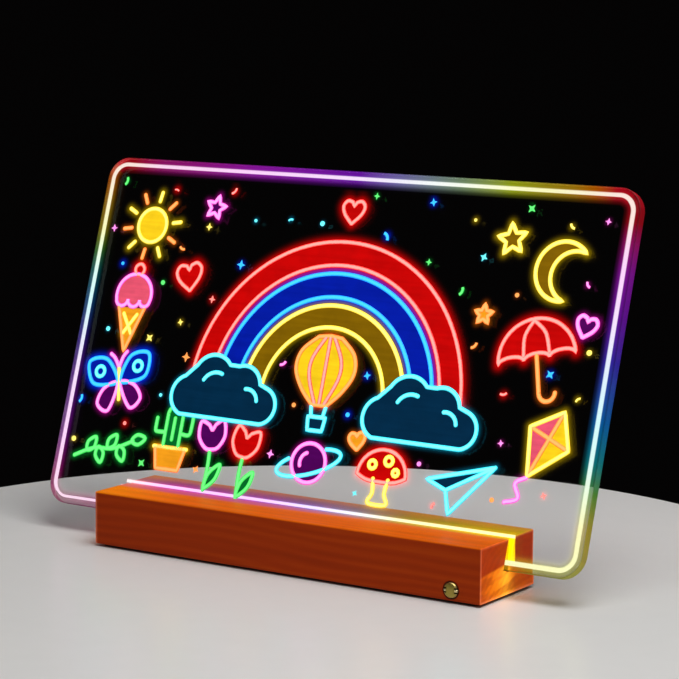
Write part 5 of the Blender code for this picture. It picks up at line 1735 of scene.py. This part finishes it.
# %% Clear sheet, frosted line and satin edge
SHEET_IOR = 1.25
CLEAR_COLOURS = ((0.985, 0.99, 0.99), (0.96, 0.97, 0.975))
RIM_DEPTH = 0.16
FROST_COLOURS = ((0.03, 0.03, 0.03), (0.05, 0.05, 0.05))
FROST_GRAIN = 1400.0
FROST_HEIGHT = 0.05 * MM
SAW_GRAIN = 500.0
SAW_HEIGHT = 0.04 * MM
EDGE_TINT = 0.35


def make_clear_sheet():
    """The clear faces, with faint smears, tinted by the rim's light outside the line."""
    material, tree, shader = new_material("clear acrylic")
    place = object_place(tree)
    smears = noise(tree, place, 14.0, detail=4.0)
    past_line = attribute(tree, "rim_place").outputs["Fac"]
    rim = attribute(tree, "rim_colour")
    tint = maths(
        tree,
        "MULTIPLY",
        between(tree, past_line, 4.0, 0.0),
        between(tree, past_line, -9.0, -5.0),
        rim.outputs["Alpha"],
    )
    deep = tinted(tree, rim.outputs["Color"], RIM_DEPTH)
    on_front = between(tree, past_line, -10.0, -9.0)
    light = added(
        tree,
        line_light(tree),
        attribute(tree, "ink_glow").outputs["Color"],
        tinted(tree, slot_band(tree, place), on_front),
    )
    shade(tree, shader, {
        "Base Color": mix(tree, tint, mix(tree, smears, *CLEAR_COLOURS), deep),
        "Metallic": 0.0,
        "Roughness": between(tree, smears, 0.45, 0.75, 0.015, 0.05),
        "IOR": SHEET_IOR,
        "Specular IOR Level": 0.06,
        "Transmission Weight": 1.0,
        "Emission Color": light,
        "Emission Strength": 1.0,
    })
    return material


def make_engraved_line():
    """The groove, frosted by the cutter and nearly white with light."""
    material, tree, shader = new_material("frosted engraved line")
    tooling = noise(tree, object_place(tree), FROST_GRAIN, detail=2.0)
    sparkle = between(tree, tooling, 0.3, 0.7, 0.95, 1.03)
    shade(tree, shader, {
        "Base Color": mix(tree, tooling, *FROST_COLOURS),
        "Roughness": between(tree, tooling, 0.3, 0.7, 0.55, 0.75),
        "Emission Color": tinted(tree, line_light(tree), sparkle),
        "Emission Strength": 1.0,
        "Normal": bumped(tree, tooling, 0.3, FROST_HEIGHT),
    })
    return material


def make_satin_edge():
    """The sawn edge all round, which glows in the rim's colours."""
    material, tree, shader = new_material("satin sheet edge")
    saw_marks = noise(tree, object_place(tree), SAW_GRAIN)
    colour = attribute(tree, "rim_colour").outputs["Color"]
    shade(tree, shader, {
        "Base Color": tinted(tree, colour, EDGE_TINT),
        "Roughness": between(tree, saw_marks, 0.3, 0.7, 0.40, 0.55),
        "IOR": SHEET_IOR,
        "Specular IOR Level": 0.08,
        "Transmission Weight": 0.9,
        "Emission Color": halo_light(tree),
        "Emission Strength": 1.0,
        "Normal": bumped(tree, saw_marks, 0.2, SAW_HEIGHT),
    })
    return material


sheet_mesh.transform(SHEET_PLACE)
for finish in (make_clear_sheet(), make_engraved_line(), make_satin_edge()):
    sheet_mesh.materials.append(finish)
writing_sheet = bpy.data.objects.new("writing_sheet", sheet_mesh)
bpy.context.scene.collection.objects.link(writing_sheet)
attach(writing_sheet, "panel")
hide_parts("acrylic_panel")
print("sheet spans", [round(side / MM, 1) for side in writing_sheet.dimensions])

# %% [markdown]
# The rest are small technical parts, most of them inside the base. Each has a finish of its own, but they
# differ in few ways: two near colours, how rough and how metallic they are, and how fine their grain is.
# So one shader group makes the grain, and a table holds the values of every finish by the material's
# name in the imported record.

# %% Table of finishes
FINISHES = {
    "milky_plastic": {
        "colours": ((0.80, 0.80, 0.78), (0.86, 0.86, 0.84)), "rough": (0.45, 0.60), "grain": 900,
    },
    "channel_metal": {
        "colours": ((0.56, 0.57, 0.58), (0.66, 0.67, 0.68)), "rough": (0.30, 0.45), "grain": 400,
        "metal": 1.0, "stretch": (1, 30, 30),
    },
    "white_board": {
        "colours": ((0.72, 0.72, 0.69), (0.80, 0.80, 0.77)), "rough": (0.35, 0.50), "grain": 1500,
    },
    "lamp_plastic": {
        "colours": ((0.80, 0.79, 0.74), (0.86, 0.85, 0.80)), "rough": (0.20, 0.35), "grain": 1200,
    },
    "cover_steel": {
        "colours": ((0.018, 0.018, 0.020), (0.032, 0.032, 0.034)), "rough": (0.50, 0.68), "grain": 1300,
        "bump": 0.5,
    },
    "foam": {
        "colours": ((0.008, 0.008, 0.008), (0.022, 0.022, 0.022)), "rough": (0.85, 0.97), "grain": 1700,
        "bump": 0.9,
    },
    "screw_steel": {
        "colours": ((0.44, 0.45, 0.46), (0.58, 0.59, 0.60)), "rough": (0.25, 0.40), "grain": 1200,
        "metal": 1.0,
    },
    "clip_steel": {
        "colours": ((0.42, 0.42, 0.43), (0.54, 0.54, 0.55)), "rough": (0.28, 0.42), "grain": 700,
        "metal": 1.0, "stretch": (1, 1, 16),
    },
    "green_board": {
        "colours": ((0.006, 0.10, 0.025), (0.010, 0.15, 0.040)), "rough": (0.25, 0.40), "grain": 700,
    },
    "black_plastic": {
        "colours": ((0.012, 0.012, 0.012), (0.022, 0.022, 0.022)), "rough": (0.40, 0.55), "grain": 1600,
        "bump": 0.4,
    },
    "white_plastic": {
        "colours": ((0.68, 0.66, 0.60), (0.76, 0.74, 0.68)), "rough": (0.35, 0.50), "grain": 1200,
    },
    "ferrite": {
        "colours": ((0.035, 0.035, 0.038), (0.060, 0.060, 0.064)), "rough": (0.60, 0.80), "grain": 2200,
        "bump": 0.6,
    },
    "capacitor_can": {
        "colours": ((0.58, 0.59, 0.60), (0.68, 0.69, 0.70)), "rough": (0.22, 0.34), "grain": 600,
        "metal": 1.0, "stretch": (1, 1, 20),
    },
    "socket_steel": {
        "colours": ((0.60, 0.60, 0.61), (0.70, 0.70, 0.71)), "rough": (0.18, 0.30), "grain": 900,
        "metal": 1.0,
    },
    "battery_foil": {
        "colours": ((0.52, 0.54, 0.58), (0.64, 0.66, 0.70)), "rough": (0.28, 0.50), "grain": 260,
        "metal": 1.0, "bump": 0.6,
    },
    "white_foam": {
        "colours": ((0.66, 0.66, 0.63), (0.78, 0.78, 0.75)), "rough": (0.80, 0.95), "grain": 2000,
        "bump": 0.8,
    },
    "red_wire": {
        "colours": ((0.42, 0.010, 0.006), (0.52, 0.016, 0.010)), "rough": (0.30, 0.45), "grain": 800,
    },
    "black_wire": {
        "colours": ((0.008, 0.008, 0.008), (0.018, 0.018, 0.018)), "rough": (0.30, 0.45), "grain": 800,
    },
    "green_wire": {
        "colours": ((0.010, 0.20, 0.03), (0.016, 0.28, 0.05)), "rough": (0.30, 0.45), "grain": 800,
    },
    "white_wire": {
        "colours": ((0.70, 0.70, 0.67), (0.80, 0.80, 0.77)), "rough": (0.30, 0.45), "grain": 800,
    },
}
print("finishes in the table:", len(FINISHES))

# %% Finishes of the small parts
PATCH_SCALE = 45.0
FINE_SHARE, PATCH_SHARE = 0.6, 0.4
FINE_HEIGHT = 0.05 * MM


def make_grain_group():
    """A shader group with fine grain and broad patches, both from 0 to 1."""
    group = bpy.data.node_groups.new("fine grain", "ShaderNodeTree")
    for name, kind in (("Place", "Vector"), ("Stretch", "Vector"), ("Fineness", "Float")):
        group.interface.new_socket(name, in_out="INPUT", socket_type="NodeSocket" + kind)
    group.interface.new_socket("Grain", in_out="OUTPUT", socket_type="NodeSocketFloat")
    group.interface.new_socket("Patches", in_out="OUTPUT", socket_type="NodeSocketFloat")
    start = group.nodes.new("NodeGroupInput")
    end = group.nodes.new("NodeGroupOutput")
    place = start.outputs["Place"]
    stretch = start.outputs["Stretch"]
    spread = node(group, "ShaderNodeVectorMath", {0: place, 1: stretch}, operation="MULTIPLY")
    fine = node(group, "ShaderNodeTexNoise", {
        "Vector": spread.outputs[0], "Scale": start.outputs["Fineness"], "Detail": 3.0,
    })
    broad = node(group, "ShaderNodeTexNoise", {"Vector": place, "Scale": PATCH_SCALE, "Detail": 2.0})
    group.links.new(between(group, fine.outputs["Fac"], 0.3, 0.7), end.inputs["Grain"])
    group.links.new(between(group, broad.outputs["Fac"], 0.35, 0.65), end.inputs["Patches"])
    return group


FINE_GRAIN = make_grain_group()


def grain_of(tree, fineness, stretch=(1, 1, 1)):
    """The fine grain and the broad patches of a finish, from the shared group."""
    group = node(tree, "ShaderNodeGroup", node_tree=FINE_GRAIN)
    feed(tree, group.inputs["Place"], object_place(tree))
    group.inputs["Stretch"].default_value = stretch
    group.inputs["Fineness"].default_value = fineness
    return group.outputs["Grain"], group.outputs["Patches"]


def make_finish(name, colours, rough, grain, metal=0.0, bump=0.25, stretch=(1, 1, 1)):
    """A material from one row of the table."""
    material, tree, shader = new_material(name)
    fine, patches = grain_of(tree, grain, stretch)
    share = maths(
        tree,
        "ADD",
        maths(tree, "MULTIPLY", fine, FINE_SHARE),
        maths(tree, "MULTIPLY", patches, PATCH_SHARE),
    )
    shade(tree, shader, {
        "Base Color": mix(tree, share, *colours),
        "Metallic": metal,
        "Roughness": between(tree, share, 0.0, 1.0, *rough),
        "Normal": bumped(tree, fine, bump, FINE_HEIGHT),
    })
    return material


finishes = {slot: make_finish(slot.replace("_", " "), **values) for slot, values in FINISHES.items()}
for entry in frame["record"]["subparts"]:
    if entry["material_slot"] in finishes:
        dress(entry["node"], finishes[entry["material_slot"]])
print("finishes made:", len(finishes))

# %% [markdown]
# The lamps and the milky strip over them are lit. They sit deep in the slot, so only their light is
# normally seen, but when the sheet is lifted out one can look down onto them.

# %% Lamps and milky strip
STRIP_LIGHT = 0.9
STRIP_WHITE = 0.35
LAMP_WHITE = 0.6


def light_up(slot, whiteness):
    """Makes a finish give off the lamps' colours, mixed with some white."""
    tree = finishes[slot].node_tree
    shade(tree, tree.nodes["Principled BSDF"], {
        "Emission Color": mix(tree, whiteness, slot_light(tree, object_place(tree)), WHITE),
        "Emission Strength": STRIP_LIGHT,
    })


light_up("milky_plastic", STRIP_WHITE)
light_up("lamp_plastic", LAMP_WHITE)
print("lit: milky strip and lamps")

# %% [markdown]
# The push button is turned brass with an aged, olive tone. Its face is slightly domed, which a height that
# falls with the square of the distance from the axis gives to the shading. A lathe leaves fine rings round
# the middle, which catch the light in two fans; here they are a wave of bumps that runs outwards. The two
# studs between the notches are rounded. The rim and the studs are lighter, partly from wear and partly as
# a painted highlight, and the notches are darkened with painted shade.

# %% Brass button
CAP_DOME = 0.45 * MM
STUD_DOME = 0.50 * MM
STUD_HALF = 0.75 * MM
STUD_LENGTH = 1.6 * MM
STUD_FADE = (-0.2 * MM, 0.2 * MM)
NOTCH_AT = 1.15 * MM
NOTCH_REACH = 2.4 * MM
NOTCH_FADE = (0.0, 0.8 * MM)
TURNING_PITCH = 0.22 * MM
TURNING_HEIGHT = 0.004 * MM
TURNING_SHARE, BRASS_GRAIN_SHARE = 0.5, 0.4
# Where the wear and painted highlight towards the rim begin, and how far in from the rim they are full.
WEAR_AND_SHEEN_FROM = 3.4 * MM
WEAR_AND_SHEEN_INSET = 0.3 * MM
BRASS_GRAIN = 900
AGED_BRASS = ((0.30, 0.24, 0.045), (0.42, 0.33, 0.075))
# Lighter brass from wear and painted highlight, at the rim and on the studs.
RIM_WEAR_AND_SHEEN = (0.50, 0.37, 0.13)
STUD_WEAR_AND_HIGHLIGHT = (0.95, 0.82, 0.44)
# Painted shade in the notches.
NOTCH_SHADE = (0.035, 0.024, 0.004)


def brass_height(tree, radius, upwards, stud, fine):
    """The cap's dome, the rounded studs and the lathe's rings, as one height."""
    share = maths(tree, "DIVIDE", radius, BUTTON_RADIUS)
    dome = maths(tree, "MULTIPLY", share, share, -CAP_DOME)
    ridge = maths(tree, "MULTIPLY", upwards, upwards, -STUD_DOME, stud)
    rings = maths(tree, "SINE", maths(tree, "MULTIPLY", radius, 2 * math.pi / TURNING_PITCH))
    turning = maths(
        tree,
        "ADD",
        maths(tree, "MULTIPLY", rings, TURNING_SHARE),
        maths(tree, "MULTIPLY", fine, BRASS_GRAIN_SHARE),
    )
    return maths(tree, "ADD", dome, ridge, maths(tree, "MULTIPLY", turning, TURNING_HEIGHT))


def make_brass():
    """Aged brass, with wear and painted highlight at the rim and studs, and painted shade in the notches."""
    material, tree, shader = new_material("aged turned brass")
    fine, patches = grain_of(tree, BRASS_GRAIN)
    centred = node(tree, "ShaderNodeMapping", {
        "Vector": object_place(tree), "Location": (-BUTTON_X, 0, -BUTTON_Z),
    })
    split = node(tree, "ShaderNodeSeparateXYZ", {0: centred.outputs[0]})
    radius = distance_from_axis(tree, X=split.outputs["X"], Z=split.outputs["Z"])
    sideways = maths(tree, "ABSOLUTE", split.outputs["X"])
    upwards = maths(tree, "DIVIDE", maths(tree, "ABSOLUTE", split.outputs["Z"]), STUD_HALF)
    stud = maths(
        tree,
        "MULTIPLY",
        fade_at(tree, sideways, BUTTON_RADIUS - STUD_LENGTH, STUD_FADE),
        between(tree, upwards, 1.1, 0.9),
    )
    from_notch = maths(tree, "ABSOLUTE", maths(tree, "SUBTRACT", upwards, NOTCH_AT / STUD_HALF))
    # Painted shade in the notches.
    notch_shade = maths(
        tree,
        "MULTIPLY",
        between(tree, from_notch, 0.75, 0.45),
        fade_at(tree, sideways, BUTTON_RADIUS - NOTCH_REACH, NOTCH_FADE),
    )
    # Wear and painted highlight towards the rim.
    wear_and_sheen = between(tree, radius, WEAR_AND_SHEEN_FROM, BUTTON_RADIUS - WEAR_AND_SHEEN_INSET)
    colour = mix(tree, wear_and_sheen, mix(tree, patches, *AGED_BRASS), RIM_WEAR_AND_SHEEN)
    # Wear and painted highlight on the studs.
    colour = mix(tree, stud, colour, STUD_WEAR_AND_HIGHLIGHT)
    shade(tree, shader, {
        "Base Color": mix(tree, notch_shade, colour, NOTCH_SHADE),
        "Metallic": 1.0,
        "Roughness": between(tree, fine, 0.0, 1.0, 0.36, 0.50),
        "Normal": bumped(tree, brass_height(tree, radius, upwards, stud, fine), 1.0, 1.0),
    })
    return material


brass = make_brass()
for brass_part in ("button_cap", "button_bush"):
    dress(brass_part, brass)
print("button at x", round(BUTTON_X / MM, 1), "z", round(BUTTON_Z / MM, 1), "mm")
